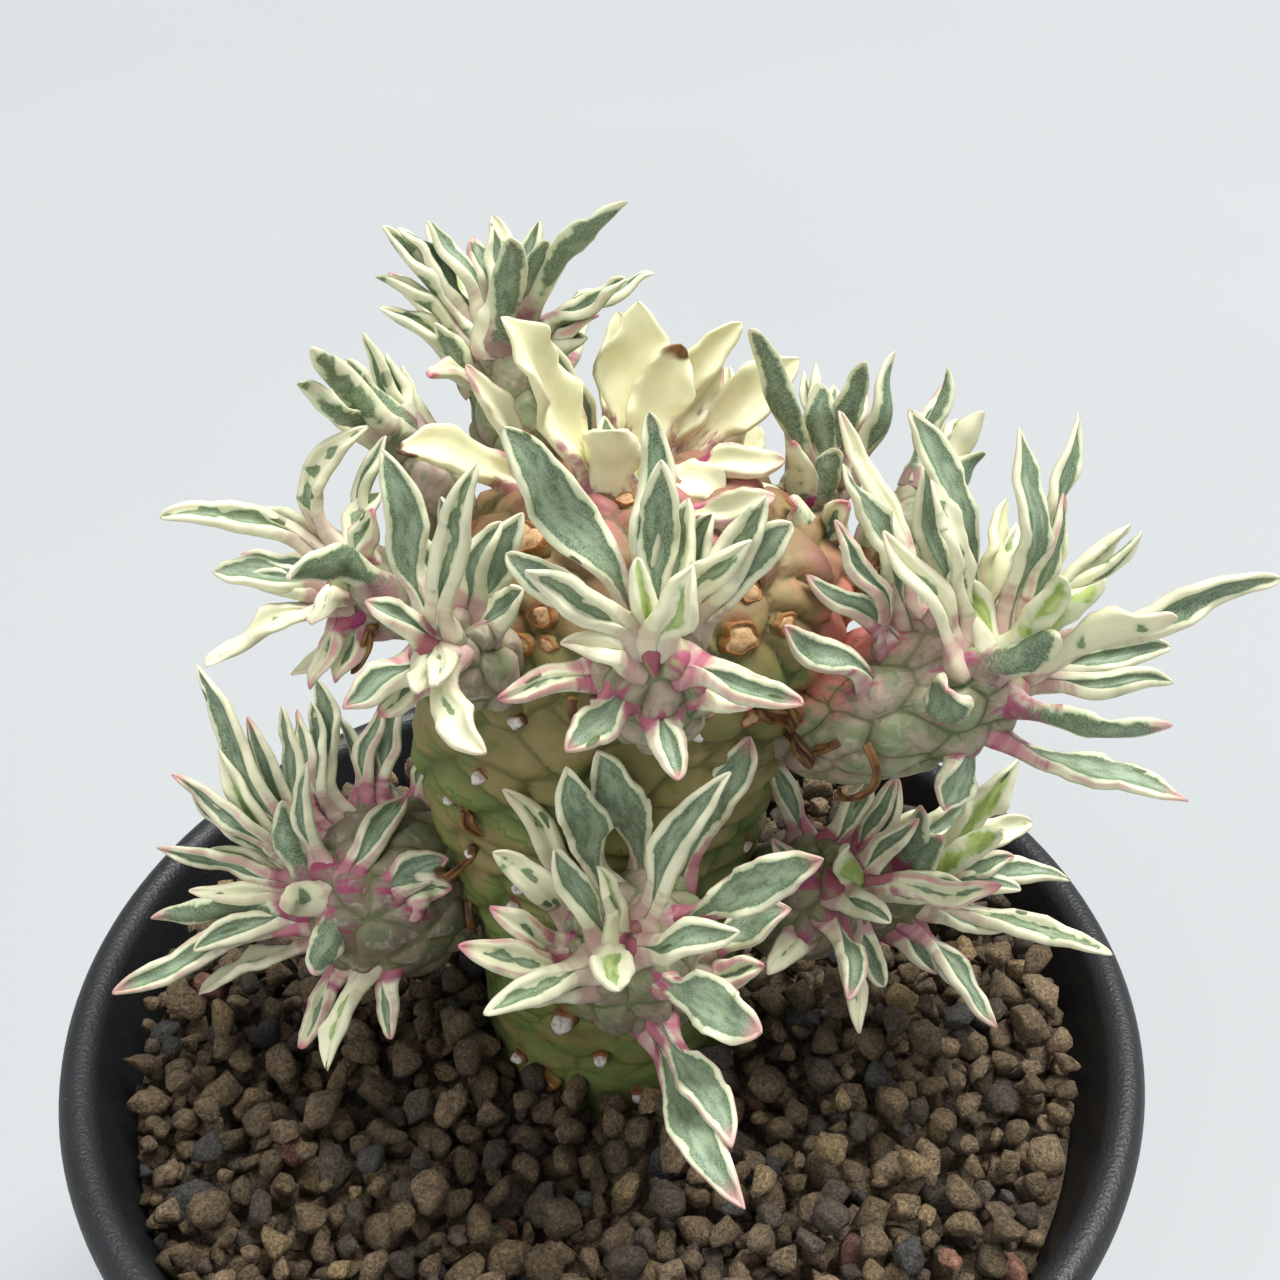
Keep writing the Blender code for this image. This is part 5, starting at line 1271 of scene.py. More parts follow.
# Dried leaves and flakes of bark that the photograph shows: both ends in its pixels, breadth in millimetres
SCRAPS = (
    ((376, 628), (352, 676), 1.3), ((866, 546), (884, 592), 1.8), ((880, 552), (872, 580), 1.2),
    ((572, 698), (577, 742), 1.6), ((866, 744), (838, 788), 1.0), ((464, 806), (484, 838), 1.5),
    ((472, 846), (462, 892), 1.4), ((680, 536), (664, 560), 1.2), ((766, 694), (788, 738), 1.8),
    ((786, 732), (814, 768), 1.6), ((776, 706), (800, 722), 1.2), ((468, 900), (482, 938), 1.3),
    ((806, 640), (820, 670), 1.1), ((514, 424), (534, 444), 1.8), ((418, 426), (440, 438), 1.3),
    ((745, 560), (760, 590), 1.2), ((838, 742), (810, 754), 0.9), ((604, 546), (612, 566), 1.2),
)
SCRAP_LIFT = 0.4
SCRAP_BEND = 0.22
SCRAP_FOLD = 50
# The number that sets the first scrap's draws, past those of the leaves
FIRST_SCRAP = 900


def scrap_point(pixel, bodies):
    """Where a sight line first meets a head or the trunk, or comes closest to one, and a little before it."""
    line = unit(sight_line(pixel))
    met = [body.surface_on(line, False) for body in bodies] + [on_trunk(pixel)[0]]
    depths = [float((point - EYE) @ line) for point in met]
    misses = [float(np.linalg.norm(point - EYE - line * depth)) for point, depth in zip(met, depths)]
    first = min(range(len(met)), key=lambda i: depths[i] + 100 * max(misses[i] - 1.0, 0.0))
    return EYE + line * (depths[first] - SCRAP_LIFT)


def dry_scrap(ends, wide, bodies, draw):
    """A shrivelled leaf or flake between two pixels, bent at random."""
    root, tip = (scrap_point(pixel, bodies) for pixel in ends)
    chord = tip - root
    bend = draw.normal(0, SCRAP_BEND, (2, 3)) * np.linalg.norm(chord)
    route = np.array((root, root + chord * 0.33 + bend[0], root + chord * 0.67 + bend[1], tip))
    return Placed(route, unit(np.cross(chord, SIGHT_AHEAD)), wide, SCRAP_FOLD, "dry")


# The grit
GRAIN_COUNT = 2000
GRAIN_LEAST = 0.85
GRAIN_MOST = 2.65
GRAIN_TRIES = 14
GRIT_DEPTH = 4.6
# How close two grains settle, as a share of their radii together, because neither is a full ball
GRAIN_CLOSENESS = 0.93
GRAIN_ROOM_AT_WALL = 0.6
# A grain's form: planes that press it flat, how near they come to its middle, and how it is stretched
GRAIN_CUTS = 12
CUT_REACH = (0.44, 0.82)
GRAIN_STRETCH = (0.78, 1.28)
GRAIN_FORM = (1.12, 1.12, 0.95)
GRAIN_RIPPLE = 0.32
# The bed of grit under the loose grains: how far its top is above their depth, its gap to the pot
BED_LIFT = 0.8
BED_GAP = 0.35
# The bed's tint: the grit colour it takes, and a lower lightness that paints shade into the gaps between the
# grains
BED_SHADED_TINT = (0.4, 0.3, 0.0, 1.0)


def settled_grains():
    """Middles and radii of loose grains: each comes down at the lowest of a few drawn places.

    A grain rests at the height where it first touches one that lies there already, or on the bed.
    """
    draw = np.random.default_rng(SEED + 6)
    radii = GRAIN_LEAST + (GRAIN_MOST - GRAIN_LEAST) * draw.beta(1.5, 2.6, GRAIN_COUNT)
    wall = INNER_LIP_RADIUS - GRAIN_ROOM_AT_WALL
    trunk = np.array(TRUNK_LEVELS[2])
    bed = SOIL_LEVEL - GRIT_DEPTH
    places = np.zeros((0, 3))
    sizes = np.zeros(0)
    for radius in radii:
        reach = (wall - radius) * np.sqrt(draw.random(GRAIN_TRIES))
        turn = draw.uniform(0, 2 * math.pi, GRAIN_TRIES)
        spots = np.stack((reach * np.cos(turn), reach * np.sin(turn)), -1)
        from_trunk = np.hypot((spots[:, 0] - trunk[1]) / (trunk[3] + radius * 0.6),
                              (spots[:, 1] - trunk[2]) / (trunk[4] + radius * 0.6))
        spots = spots[from_trunk > 1]
        if not len(spots):
            continue
        height = np.full(len(spots), bed + radius)
        if len(places):
            gap = (sizes + radius)[None] * GRAIN_CLOSENESS
            apart = ((spots[:, None] - places[None, :, :2]) ** 2).sum(-1)
            rest = places[None, :, 2] + np.sqrt(np.maximum(gap ** 2 - apart, 0))
            height = np.maximum(height, np.where(apart < gap ** 2, rest, bed).max(axis=1))
        best = int((height + radius).argmin())
        places = np.concatenate((places, [(*spots[best], height[best])]))
        sizes = np.concatenate((sizes, (radius,)))
    return places, sizes


def grain_pattern():
    """Points and triangles of a ball with 80 faces."""
    ball = bmesh.new()
    bmesh.ops.create_icosphere(ball, subdivisions=2, radius=1.0)
    points = np.array([v.co[:] for v in ball.verts])
    tris = np.array([[v.index for v in f.verts] for f in ball.faces])
    ball.free()
    return points, tris


def grain_skins(places, sizes):
    """Each grain is a ball pressed flat by planes from drawn directions, stretched and turned."""
    draw = np.random.default_rng(SEED + 7)
    ball, tris = grain_pattern()
    count = len(sizes)
    points = np.repeat(ball[None], count, axis=0)
    uneven = ripple(points + np.arange(count)[:, None, None] * 5.0, 1.2, SEED + 8)
    points = points * (1 + GRAIN_RIPPLE * uneven)[..., None]
    for _ in range(GRAIN_CUTS):
        way = draw.normal(size=(count, 3))
        way /= np.linalg.norm(way, axis=1, keepdims=True)
        over = np.einsum("gvk,gk->gv", points, way) - draw.uniform(*CUT_REACH, count)[:, None]
        points = points - np.maximum(over, 0)[..., None] * way[:, None, :]
    stretch = draw.uniform(*GRAIN_STRETCH, (count, 1, 3)) * GRAIN_FORM
    turn = draw.normal(size=(count, 4))
    turn /= np.linalg.norm(turn, axis=1, keepdims=True)
    w, x, y, z = turn.T
    turned = np.stack((
        1 - 2 * (y * y + z * z), 2 * (x * y - w * z), 2 * (x * z + w * y),
        2 * (x * y + w * z), 1 - 2 * (x * x + z * z), 2 * (y * z - w * x),
        2 * (x * z - w * y), 2 * (y * z + w * x), 1 - 2 * (x * x + y * y)), -1).reshape(count, 3, 3)
    points = np.einsum("gij,gvj->gvi", turned, points * stretch) * sizes[:, None, None] + places[:, None, :]
    kind = draw.random((count, 2))
    return points, tris, kind


def make_grit():
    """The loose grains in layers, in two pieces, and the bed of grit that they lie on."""
    places, sizes = settled_grains()
    points, tris, kind = grain_skins(places, sizes)
    material = porous_grit()
    halves = np.array_split(np.arange(len(sizes)), 2)
    for name, chosen in zip(("grit_lower", "grit_upper"), halves):
        parts = Parts()
        step = np.arange(len(chosen))[:, None, None] * points.shape[1]
        tint = np.repeat(np.concatenate((kind[chosen], 0 * kind[chosen]), axis=1), points.shape[1], axis=0)
        tint[:, 3] = 1.0
        faces = (tris[None] + step).reshape(-1, 3)
        parts.add(points[chosen].reshape(-1, 3), np.zeros((0, 4), int), faces, tint=tint)
        parts.piece(name, material, "soil", "grit")
    bed = Parts()
    top, foot = SOIL_LEVEL - GRIT_DEPTH + BED_LIFT, FLOOR_LEVEL + BED_GAP
    outer = [(pot_inside(height) - BED_GAP, height) for height in (top, INNER_BEND, foot)]
    bed.add(**turned_skin([(POLE_RADIUS, top), *outer, (POLE_RADIUS, foot)], 96), tint=BED_SHADED_TINT)
    bed.piece("grit_bed", material, "soil", "grit")


# The ring next to the axis where a turned body is closed, and the roundings of the pot's corners
POLE_RADIUS = 0.3
OUTER_ROUNDING = 1.2
INNER_ROUNDING = 2.0
# Where the rolled rim's bead leaves the outside and meets the inside, in degrees from level
BEAD_FROM, BEAD_TO = -40, 180
SHARP_FROM = 40


def pot_inside(height):
    """Inner radius of the pot at a height."""
    return float(np.interp(height, (FLOOR_LEVEL, INNER_BEND, INNER_LIP),
                           (BASE_RADIUS - WALL, COLLAR_RADIUS - WALL, INNER_LIP_RADIUS)))


def turned_skin(profile, around):
    """A closed body turned about the Z axis from a (radius, height) profile with both ends near it."""
    profile = np.array(profile)
    turn = ring_turns(around)
    ring = np.stack((np.cos(turn), np.sin(turn), 0 * turn), -1)
    points = ring[None] * profile[:, 0, None, None] + profile[:, 1, None, None] * np.array((0, 0, 1.0))
    quads, tris = tube_faces(len(profile), around)
    ends = np.array(((0, 0, profile[0, 1]), (0, 0, profile[-1, 1])))
    return dict(points=np.concatenate((points.reshape(-1, 3), ends)), quads=quads, tris=tris)


def rounded(profile, radius, steps=4):
    """A profile with each inner corner cut by a short arc-like curve of about the given radius."""
    out = [profile[0]]
    for before, corner, after in zip(profile[:-2], profile[1:-1], profile[2:]):
        before, corner, after = (np.array(p, float) for p in (before, corner, after))
        a, b = before - corner, after - corner
        reach = min(radius, 0.45 * np.linalg.norm(a), 0.45 * np.linalg.norm(b))
        start, end = corner + unit(a) * reach, corner + unit(b) * reach
        for t in np.linspace(0, 1, steps):
            out.append((1 - t) ** 2 * start + 2 * t * (1 - t) * corner + t ** 2 * end)
    out.append(profile[-1])
    return [tuple(p) for p in out]


def make_pot():
    """A finely turned pot with a rolled rim, and the drainage slots cut through its floor."""
    bead = RIM_BEAD / 2
    turns = np.linspace(math.radians(BEAD_FROM), math.radians(BEAD_TO), 15)
    roll = [(RIM_RADIUS - bead + bead * math.cos(t), POT_HEIGHT - bead + bead * math.sin(t)) for t in turns]
    foot = BASE_RADIUS - FOOT_BREADTH
    outside = [(POLE_RADIUS, 0.0), (BOSS_RADIUS, 0.0), (BOSS_RADIUS + 1.0, FOOT_LIFT),
               (foot - 1.0, FOOT_LIFT), (foot, 0.0), (BASE_RADIUS - 0.4, 0.0), (COLLAR_RADIUS, COLLAR_LEVEL),
               (RIM_RADIUS - RIM_BEAD * 0.6, COLLAR_LEVEL + COLLAR_RISE), roll[0]]
    inside = [roll[-1], (INNER_LIP_RADIUS, INNER_LIP), (COLLAR_RADIUS - WALL, INNER_BEND),
              (BASE_RADIUS - WALL, FLOOR_LEVEL), (POLE_RADIUS, FLOOR_LEVEL)]
    profile = rounded(outside, OUTER_ROUNDING) + roll[1:-1] + rounded(inside, INNER_ROUNDING)
    parts = Parts()
    parts.add(**turned_skin(profile, 160))
    pot = parts.piece("pot_shell", moulded_plastic(), "pot", "pot_plastic")
    cut_slots(pot)


def cut_slots(pot):
    """Cut the drainage slots through the pot's floor with a ring of blocks, and apply the cut."""
    cutters = bpy.data.collections.new("drain_slots")
    bpy.context.scene.collection.children.link(cutters)
    for i in range(DRAIN_COUNT):
        bpy.ops.mesh.primitive_cube_add(size=METRE)
        slot = bpy.context.object
        turn = math.radians(360 / DRAIN_COUNT * (i + 0.5))
        slot.location = (DRAIN_REACH * METRE * math.cos(turn), DRAIN_REACH * METRE * math.sin(turn), 0.0)
        slot.rotation_euler = (0, 0, turn)
        slot.scale = (DRAIN_LENGTH, DRAIN_BREADTH, 4 * FLOOR_LEVEL)
        for holder in slot.users_collection:
            holder.objects.unlink(slot)
        cutters.objects.link(slot)
    cut = pot.modifiers.new("drain", "BOOLEAN")
    cut.operation, cut.operand_type, cut.collection, cut.solver = "DIFFERENCE", "COLLECTION", cutters, "EXACT"
    bpy.context.view_layer.update()
    graph = bpy.context.evaluated_depsgraph_get()
    result = bpy.data.meshes.new_from_object(pot.evaluated_get(graph))
    pot.modifiers.clear()
    pot.data = result
    for slot in list(cutters.objects):
        bpy.data.objects.remove(slot)
    bpy.data.collections.remove(cutters)
    pot.data.set_sharp_from_angle(angle=math.radians(SHARP_FROM))


def blade_parts(placed, looks, numbers):
    """The skins of some leaves, each with its look and its number, which sets its own draws."""
    quads, tris = tube_faces(BLADE_STATIONS, 2 * BLADE_STEPS)
    parts = Parts()
    for one, look, number in zip(placed, looks, numbers):
        parts.add(quads=quads, tris=tris, **blade_skin(one, LOOKS[look], number))
    return parts


def roots_on(body, placed):
    """Where leaves' roots meet the ovoid of their head's body."""
    out = np.array([one.route[0] for one in placed]) - body.middle
    return body.middle + out / np.linalg.norm(body.squeeze(out), axis=1, keepdims=True)


def make_plant():
    """The trunk with its crown leaves, scars and dry scraps, and each head's body and leaves."""
    bodies = {name: Ovoid(growth) for name, growth in GROWTHS.items()}
    placed = place_leaves(bodies)
    draw = np.random.default_rng(SEED + 9)
    numbers = itertools.count()
    leaf_stuff, body_stuff, bark = leaf_skin_material(), head_bark(), trunk_bark()

    def leaves_of(*growths, hidden=None):
        leaves = [one for growth in growths for one in placed[growth]]
        looks = [one.look or hidden or HIDDEN_LOOKS[draw.integers(len(HIDDEN_LOOKS))] for one in leaves]
        return blade_parts(leaves, looks, numbers)

    sunk = [(one.route[0], unit(one.route[1] - one.route[0])) for one in placed["crown"]]
    crown_roots = np.array([root + way * ROOT_SINK for root, way in sunk])
    trunk = Parts()
    scars = scar_places()
    trunk.add(**trunk_skin(crown_roots, scars))
    trunk.piece("trunk_skin", bark, "trunk", "bark")
    leaves_of("crown", hidden="yellow").piece("crown_leaves", leaf_stuff, "trunk", "leaf")
    trunk_scars(scars).piece("trunk_scars", cork(), "trunk", "bark")
    scraps = [dry_scrap(ends, wide, bodies.values(), draw) for *ends, wide in SCRAPS]
    dry = blade_parts(scraps, [scrap.look for scrap in scraps], itertools.count(FIRST_SCRAP))
    dry.piece("dry_scraps", leaf_stuff, "trunk", "leaf")
    for i, (head, growths) in enumerate(HEADS.items()):
        body = Parts()
        for j, growth in enumerate(growths):
            body.add(**head_skin(bodies[growth], roots_on(bodies[growth], placed[growth]), 20 + 3 * i + j))
        body.piece(head + "_body", body_stuff, head, "leaf")
        leaves_of(*growths).piece(head + "_leaves", leaf_stuff, head, "leaf")


# Colours, as a photograph in soft daylight shows them
LEAF_DEEP = "#5d725a"
LEAF_MID = "#91a386"
LEAF_RIM = "#566c4c"
LEAF_DUST = "#adbb9e"
HALO = "#c0cda6"
YOUNG_DEEP = "#8aa350"
YOUNG_PALE = "#bccb7c"
CREAM = "#dfdec1"
CROWN_YELLOW = "#f1ecc2"
SPECK = "#5a6b44"
STALK_PINK = "#9d3664"
EDGE_PINK = "#c57f88"
SCORCH = "#4a2d1b"
DRY_TAN = "#8a6236"
BODY_MAUVE = "#ad9a8b"
BODY_GREEN = "#8b9670"
BODY_PALE = "#d4cfbd"
# Painted shade on the knobs' flanks towards their creases
BODY_FLANK_SHADE = "#847a5c"
# Painted shade on the heads low down
BODY_LOW_SHADE = "#545037"
BODY_VEIN = "#66774c"
CREASE_GREEN = "#4f6232"
TRUNK_OLIVE = "#827746"
TRUNK_GREEN = "#6f7c43"
TRUNK_MOSS = "#56692c"
TRUNK_PEACH = "#826f44"
TRUNK_ROSE = "#976a58"
# Pale patches of painted highlight on the trunk
TRUNK_HIGHLIGHT = "#968a5a"
TRUNK_CREASE = "#474b29"
ROOT_CORAL = "#c8757f"
CORAL = "#e08478"
SCAR_PALE = "#d6d0c8"
SCAR_TAN = "#cfa878"
SCAR_BROWN = "#7c4e2f"
SCAR_ORANGE = "#96602f"
SCAR_DARK = "#6d4426"
GRIT_COLOURS = ("#7e6b50", "#8f7a5f", "#65584b", "#a18a64", "#53514d", "#936956")
GRIT_SHARES = (0.0, 0.36, 0.66, 0.86, 0.93, 0.985)
PLASTIC_BLACK = "#17181a"
PLASTIC_GREY = "#222427"
PLASTIC_DUST = "#777a7c"
FLOOR_PALE = "#a6a9aa"
FLOOR_SHADE = "#9fa2a3"
# The share of the edge pink in the line along a leaf's edge
EDGE_PINK_SHARE = 0.8
# Up to the first height the heads' skin has its full painted shade, darker and browner, and from the second
# height on it has none
HEAD_SHADE_FULL_BELOW = 112.0
HEAD_SHADE_GONE_ABOVE = 148.0
PORE_DEPTH = 0.6


# Materials: a pattern on Object coordinates has the scale PER_METRE over its size in millimetres, and
# one on a leaf's or a head's own grain, which is in millimetres, has the scale one over its size
PER_METRE = 1 / METRE
SMOOTH = {"interpolation_type": "SMOOTHSTEP"}
COLOURS = {"data_type": "RGBA"}
TIMES = {"operation": "MULTIPLY"}
TIMES_PLUS = {"operation": "MULTIPLY_ADD"}
MINUS = {"operation": "SUBTRACT"}
LARGER = {"operation": "MAXIMUM"}
# What a noise mostly keeps within, and the reach of a young skin's light under its surface in metres
NOISE_LOW, NOISE_HIGH = 0.3, 0.7
FLESH_DEPTH = 1.0 * METRE
LEAF_FLESH_DEPTH = 1.2 * METRE
LEAF_FLESH_TINT = (1.0, 0.9, 0.45)


def linear(colour):
    """An sRGB hex colour as linear red, green, blue and alpha."""
    channels = [int(colour[i:i + 2], 16) / 255 for i in (1, 3, 5)]
    return (*[c / 12.92 if c <= 0.04045 else ((c + 0.055) / 1.055) ** 2.4 for c in channels], 1.0)


def add(tree, kind, inputs=None, **settings):
    """Add a shader node with its settings, and fill its inputs with values or links. Gives its outputs."""
    node = tree.nodes.new("ShaderNode" + kind)
    for key, value in settings.items():
        setattr(node, key, value)
    for key, value in (inputs or {}).items():
        if isinstance(value, bpy.types.NodeSocket):
            tree.links.new(value, node.inputs[key])
        else:
            node.inputs[key].default_value = value
    return node.outputs


def new_material(name, **finish):
    """A material with its Principled shader's fixed values set on the shader's own sockets."""
    material = bpy.data.materials.new(name)
    material.use_nodes = True
    shader = material.node_tree.nodes["Principled BSDF"]
    for key, value in finish.items():
        shader.inputs[key.replace("_", " ")].default_value = value
    return material, material.node_tree, shader


def layered(tree, skin, layers):
    """A skin under layers of colour. Each layer is laid on by a share that goes smoothly from a first
    to a last value as what it follows goes from one level to another."""
    for follows, level, other, first, last, colour in layers:
        share = add(tree, "MapRange", {0: follows, 1: level, 2: other, 3: first, 4: last}, **SMOOTH)[0]
        skin = add(tree, "Mix", {0: share, 6: skin, 7: linear(colour)}, **COLOURS)[2]
    return skin


def finish_skin(tree, shader, skin, sheen, roughness, height, strength, depth):
    """Give a shader its colour, a roughness between two values that follows the noise `sheen`, and a
    bump that follows `height`, `depth` millimetres deep."""
    low, high = roughness
    rough = add(tree, "MapRange", {0: sheen, 1: NOISE_LOW, 2: NOISE_HIGH, 3: low, 4: high})[0]
    bump = add(tree, "Bump", {"Strength": strength, "Distance": depth * METRE, "Height": height})[0]
    for socket, value in (("Base Color", skin), ("Roughness", rough), ("Normal", bump)):
        tree.links.new(value, shader.inputs[socket])


def leaf_fields(tree):
    """What a leaf's material reads: a point's place on the blade, the leaf's look and noises on its grain."""
    blade = add(tree, "SeparateXYZ", {0: add(tree, "Attribute", attribute_name="blade")["Vector"]})
    look_a, look_b = (add(tree, "Attribute", attribute_name=name) for name in ("look_a", "look_b"))
    first, second = (add(tree, "SeparateColor", {0: look["Color"]}) for look in (look_a, look_b))
    grain = add(tree, "Attribute", attribute_name="grain")["Vector"]
    drawn = add(tree, "VectorMath", {0: grain, 1: (1.0, 0.32, 1.0)}, **TIMES)[0]
    return SimpleNamespace(
        edge=blade[0], along=blade[1], face=blade[2],
        margin=add(tree, "Math", {0: first[0], 1: MARGIN_PACKING}, **TIMES)[0],
        stalk=first[1], pink_edge=first[2], young=look_a["Alpha"],
        yellow=second[0], specks=second[1], tip=second[2], scorch=look_b["Alpha"],
        drawn=drawn,
        coarse=add(tree, "TexNoise", {"Vector": grain, "Scale": 0.38, "Detail": 2.0})[0],
        medium=add(tree, "TexNoise", {"Vector": grain, "Scale": 1.6, "Detail": 2.0})[0],
        fine=add(tree, "TexNoise", {"Vector": grain, "Scale": 8.5, "Detail": 2.0})[0],
        streaks=add(tree, "TexNoise", {"Vector": drawn, "Scale": 1.5, "Detail": 4.0})[0],
    )


def leaf_depth(tree, at):
    """How far inside the line between green and cream a point is, in millimetres.

    The line wanders by a share of the margin's breadth, more on a specked leaf, and is finely jagged.
    """
    wander = add(tree, "MapRange", {0: at.coarse, 1: NOISE_LOW, 2: NOISE_HIGH, 3: -1.0, 4: 1.0})[0]
    restless = add(tree, "Math", {0: at.specks, 1: 0.6, 2: 0.46}, **TIMES_PLUS)[0]
    restless = add(tree, "Math", {0: restless, 1: at.margin}, **TIMES)[0]
    wander = add(tree, "Math", {0: wander, 1: restless, 2: at.edge}, **TIMES_PLUS)[0]
    jag = add(tree, "MapRange", {0: at.medium, 1: NOISE_LOW, 2: NOISE_HIGH, 3: -0.06, 4: 0.06})[0]
    depth = add(tree, "Math", {0: wander, 1: jag})[0]
    return add(tree, "Math", {0: depth, 1: at.margin}, **MINUS)[0]


def leaf_middle(tree, at, inner, mottle):
    """The mottled middle of a leaf: dusty grey-green with a darker rim, or yellow-green on a young one."""
    deep = add(tree, "MapRange", {0: inner, 1: 0.0, 2: 0.8}, **SMOOTH)[0]
    dust = add(tree, "MapRange", {0: at.fine, 1: 0.43, 2: 0.62, 3: 0.0, 4: 0.5}, **SMOOTH)[0]
    old = add(tree, "Mix", {0: mottle, 6: linear(LEAF_DEEP), 7: linear(LEAF_MID)}, **COLOURS)[2]
    old = add(tree, "Mix", {0: deep, 6: linear(LEAF_RIM), 7: old}, **COLOURS)[2]
    old = add(tree, "Mix", {0: dust, 6: old, 7: linear(LEAF_DUST)}, **COLOURS)[2]
    new = add(tree, "Mix", {0: mottle, 6: linear(YOUNG_DEEP), 7: linear(YOUNG_PALE)}, **COLOURS)[2]
    return add(tree, "Mix", {0: at.young, 6: old, 7: new}, **COLOURS)[2]


def variegated(tree, at, mottle):
    """Cream along the margins, a pale green halo, and the green middle, which thins out at the stalk."""
    inner = leaf_depth(tree, at)
    green = add(tree, "MapRange", {0: inner, 1: -0.06, 2: 0.12}, **SMOOTH)[0]
    halo = add(tree, "MapRange", {0: inner, 1: -0.34, 2: 0.04}, **SMOOTH)[0]
    cream = add(tree, "Mix", {0: at.yellow, 6: linear(CREAM), 7: linear(CROWN_YELLOW)}, **COLOURS)[2]
    tinge = add(tree, "MapRange", {0: at.coarse, 1: 0.40, 2: 0.70, 3: 0.0, 4: 0.30})[0]
    soft = add(tree, "Math", {0: halo, 1: 0.75, 2: tinge}, **TIMES_PLUS)[0]
    skin = add(tree, "Mix", {0: soft, 6: cream, 7: linear(HALO)}, **COLOURS)[2]
    base = add(tree, "MapRange", {0: at.along, 1: 0.0, 2: 0.16, 3: 0.35, 4: 1.0})[0]
    green = add(tree, "Math", {0: green, 1: base}, **TIMES)[0]
    middle = leaf_middle(tree, at, inner, mottle)
    return add(tree, "Mix", {0: green, 6: skin, 7: middle}, **COLOURS)[2]


def specked(tree, at, skin):
    """The skin with dark specks a few tenths of a millimetre across, fewer on the leaf's lower face."""
    cells = add(tree, "TexVoronoi", {"Vector": at.drawn, "Scale": 0.95, "Randomness": 1.0})
    chance = add(tree, "SeparateColor", {0: cells["Color"]})[0]
    common = add(tree, "Math", {0: at.specks, 1: 0.45}, **TIMES)[0]
    rare = add(tree, "Math", {0: chance, 1: common}, operation="LESS_THAN")[0]
    size = add(tree, "MapRange", {0: chance, 1: 0.0, 2: 0.5, 3: 0.34, 4: 0.14})[0]
    spot = add(tree, "Math", {0: size, 1: cells["Distance"]}, **MINUS)[0]
    spot = add(tree, "MapRange", {0: spot, 1: 0.0, 2: 0.06}, **SMOOTH)[0]
    upper = add(tree, "MapRange", {0: at.face, 1: -0.5, 2: 0.5, 3: 0.35, 4: 1.0})[0]
    for factor in (rare, upper):
        spot = add(tree, "Math", {0: spot, 1: factor}, **TIMES)[0]
    return add(tree, "Mix", {0: spot, 6: skin, 7: linear(SPECK)}, **COLOURS)[2]


def pink_flushed(tree, at, skin):
    """The skin with pink streaks from the stalk up, a pink line along the very edge, and a pink tip."""
    foot = add(tree, "Math", {0: at.streaks, 1: 0.75, 2: -0.20}, **TIMES_PLUS)[0]
    rim = add(tree, "MapRange", {0: at.edge, 1: 0.0, 2: 0.6, 3: 0.10, 4: -0.06})[0]
    foot = add(tree, "Math", {0: foot, 1: rim})[0]
    foot = add(tree, "Math", {0: foot, 1: at.along}, **MINUS)[0]
    foot = add(tree, "MapRange", {0: foot, 1: -0.14, 2: 0.08}, **SMOOTH)[0]
    striped = add(tree, "MapRange", {0: at.streaks, 1: 0.38, 2: 0.58, 3: 0.55, 4: 1.0})[0]
    for factor in (at.stalk, striped):
        foot = add(tree, "Math", {0: foot, 1: factor}, **TIMES)[0]
    skin = add(tree, "Mix", {0: foot, 6: skin, 7: linear(STALK_PINK)}, **COLOURS)[2]
    line = add(tree, "MapRange", {0: at.coarse, 1: NOISE_LOW, 2: NOISE_HIGH, 3: -0.03, 4: 0.09})[0]
    line = add(tree, "Math", {0: line, 1: at.edge}, **MINUS)[0]
    line = add(tree, "MapRange", {0: line, 1: -0.05, 2: 0.06}, **SMOOTH)[0]
    for factor in (at.pink_edge, EDGE_PINK_SHARE):
        line = add(tree, "Math", {0: line, 1: factor}, **TIMES)[0]
    end = add(tree, "MapRange", {0: at.along, 1: 0.86, 2: 0.99}, **SMOOTH)[0]
    end = add(tree, "Math", {0: end, 1: at.tip}, **TIMES)[0]
    flush = add(tree, "Math", {0: line, 1: end}, **LARGER)[0]
    return add(tree, "Mix", {0: flush, 6: skin, 7: linear(EDGE_PINK)}, **COLOURS)[2]


def scorched(tree, at, skin, mottle):
    """The skin with a brown tip where the look's scorching is 1, and brown all over where it is 2."""
    burnt = add(tree, "Math", {0: at.coarse, 1: 0.22, 2: at.along}, **TIMES_PLUS)[0]
    dry = add(tree, "MapRange", {0: at.scorch, 1: 1.0, 2: 2.0})[0]
    burnt = add(tree, "Math", {0: burnt, 1: dry})[0]
    burnt = add(tree, "MapRange", {0: burnt, 1: 1.0, 2: 1.06}, **SMOOTH)[0]
    burnt = add(tree, "Math", {0: burnt, 1: at.scorch}, **TIMES)[0]
    brown = add(tree, "Mix", {0: mottle, 6: linear(SCORCH), 7: linear(DRY_TAN)}, **COLOURS)[2]
    return add(tree, "Mix", {0: burnt, 6: skin, 7: brown}, **COLOURS)[2]


def leaf_skin_material():
    """Living leaf: a waxy skin, mottled grey-green in the middle and cream along its margins, with dark
    specks in the cream and pink at the stalk, the edge and the tip. Scorched tips and dried leaves are
    brown. Wax gives it a soft sheen, and light comes a little way through its flesh."""
    material, tree, shader = new_material(
        "living_leaf", IOR=1.42, Subsurface_Weight=0.18, Subsurface_Scale=LEAF_FLESH_DEPTH)
    shader.inputs["Subsurface Radius"].default_value = LEAF_FLESH_TINT
    at = leaf_fields(tree)
    mottle = add(tree, "MapRange", {0: at.streaks, 1: 0.34, 2: 0.66}, **SMOOTH)[0]
    skin = variegated(tree, at, mottle)
    skin = specked(tree, at, skin)
    skin = pink_flushed(tree, at, skin)
    skin = scorched(tree, at, skin, mottle)
    relief = add(tree, "Math", {0: at.streaks, 1: at.fine})[0]
    finish_skin(tree, shader, skin, at.fine, (0.40, 0.58), relief, 0.3, 0.1)
    return material


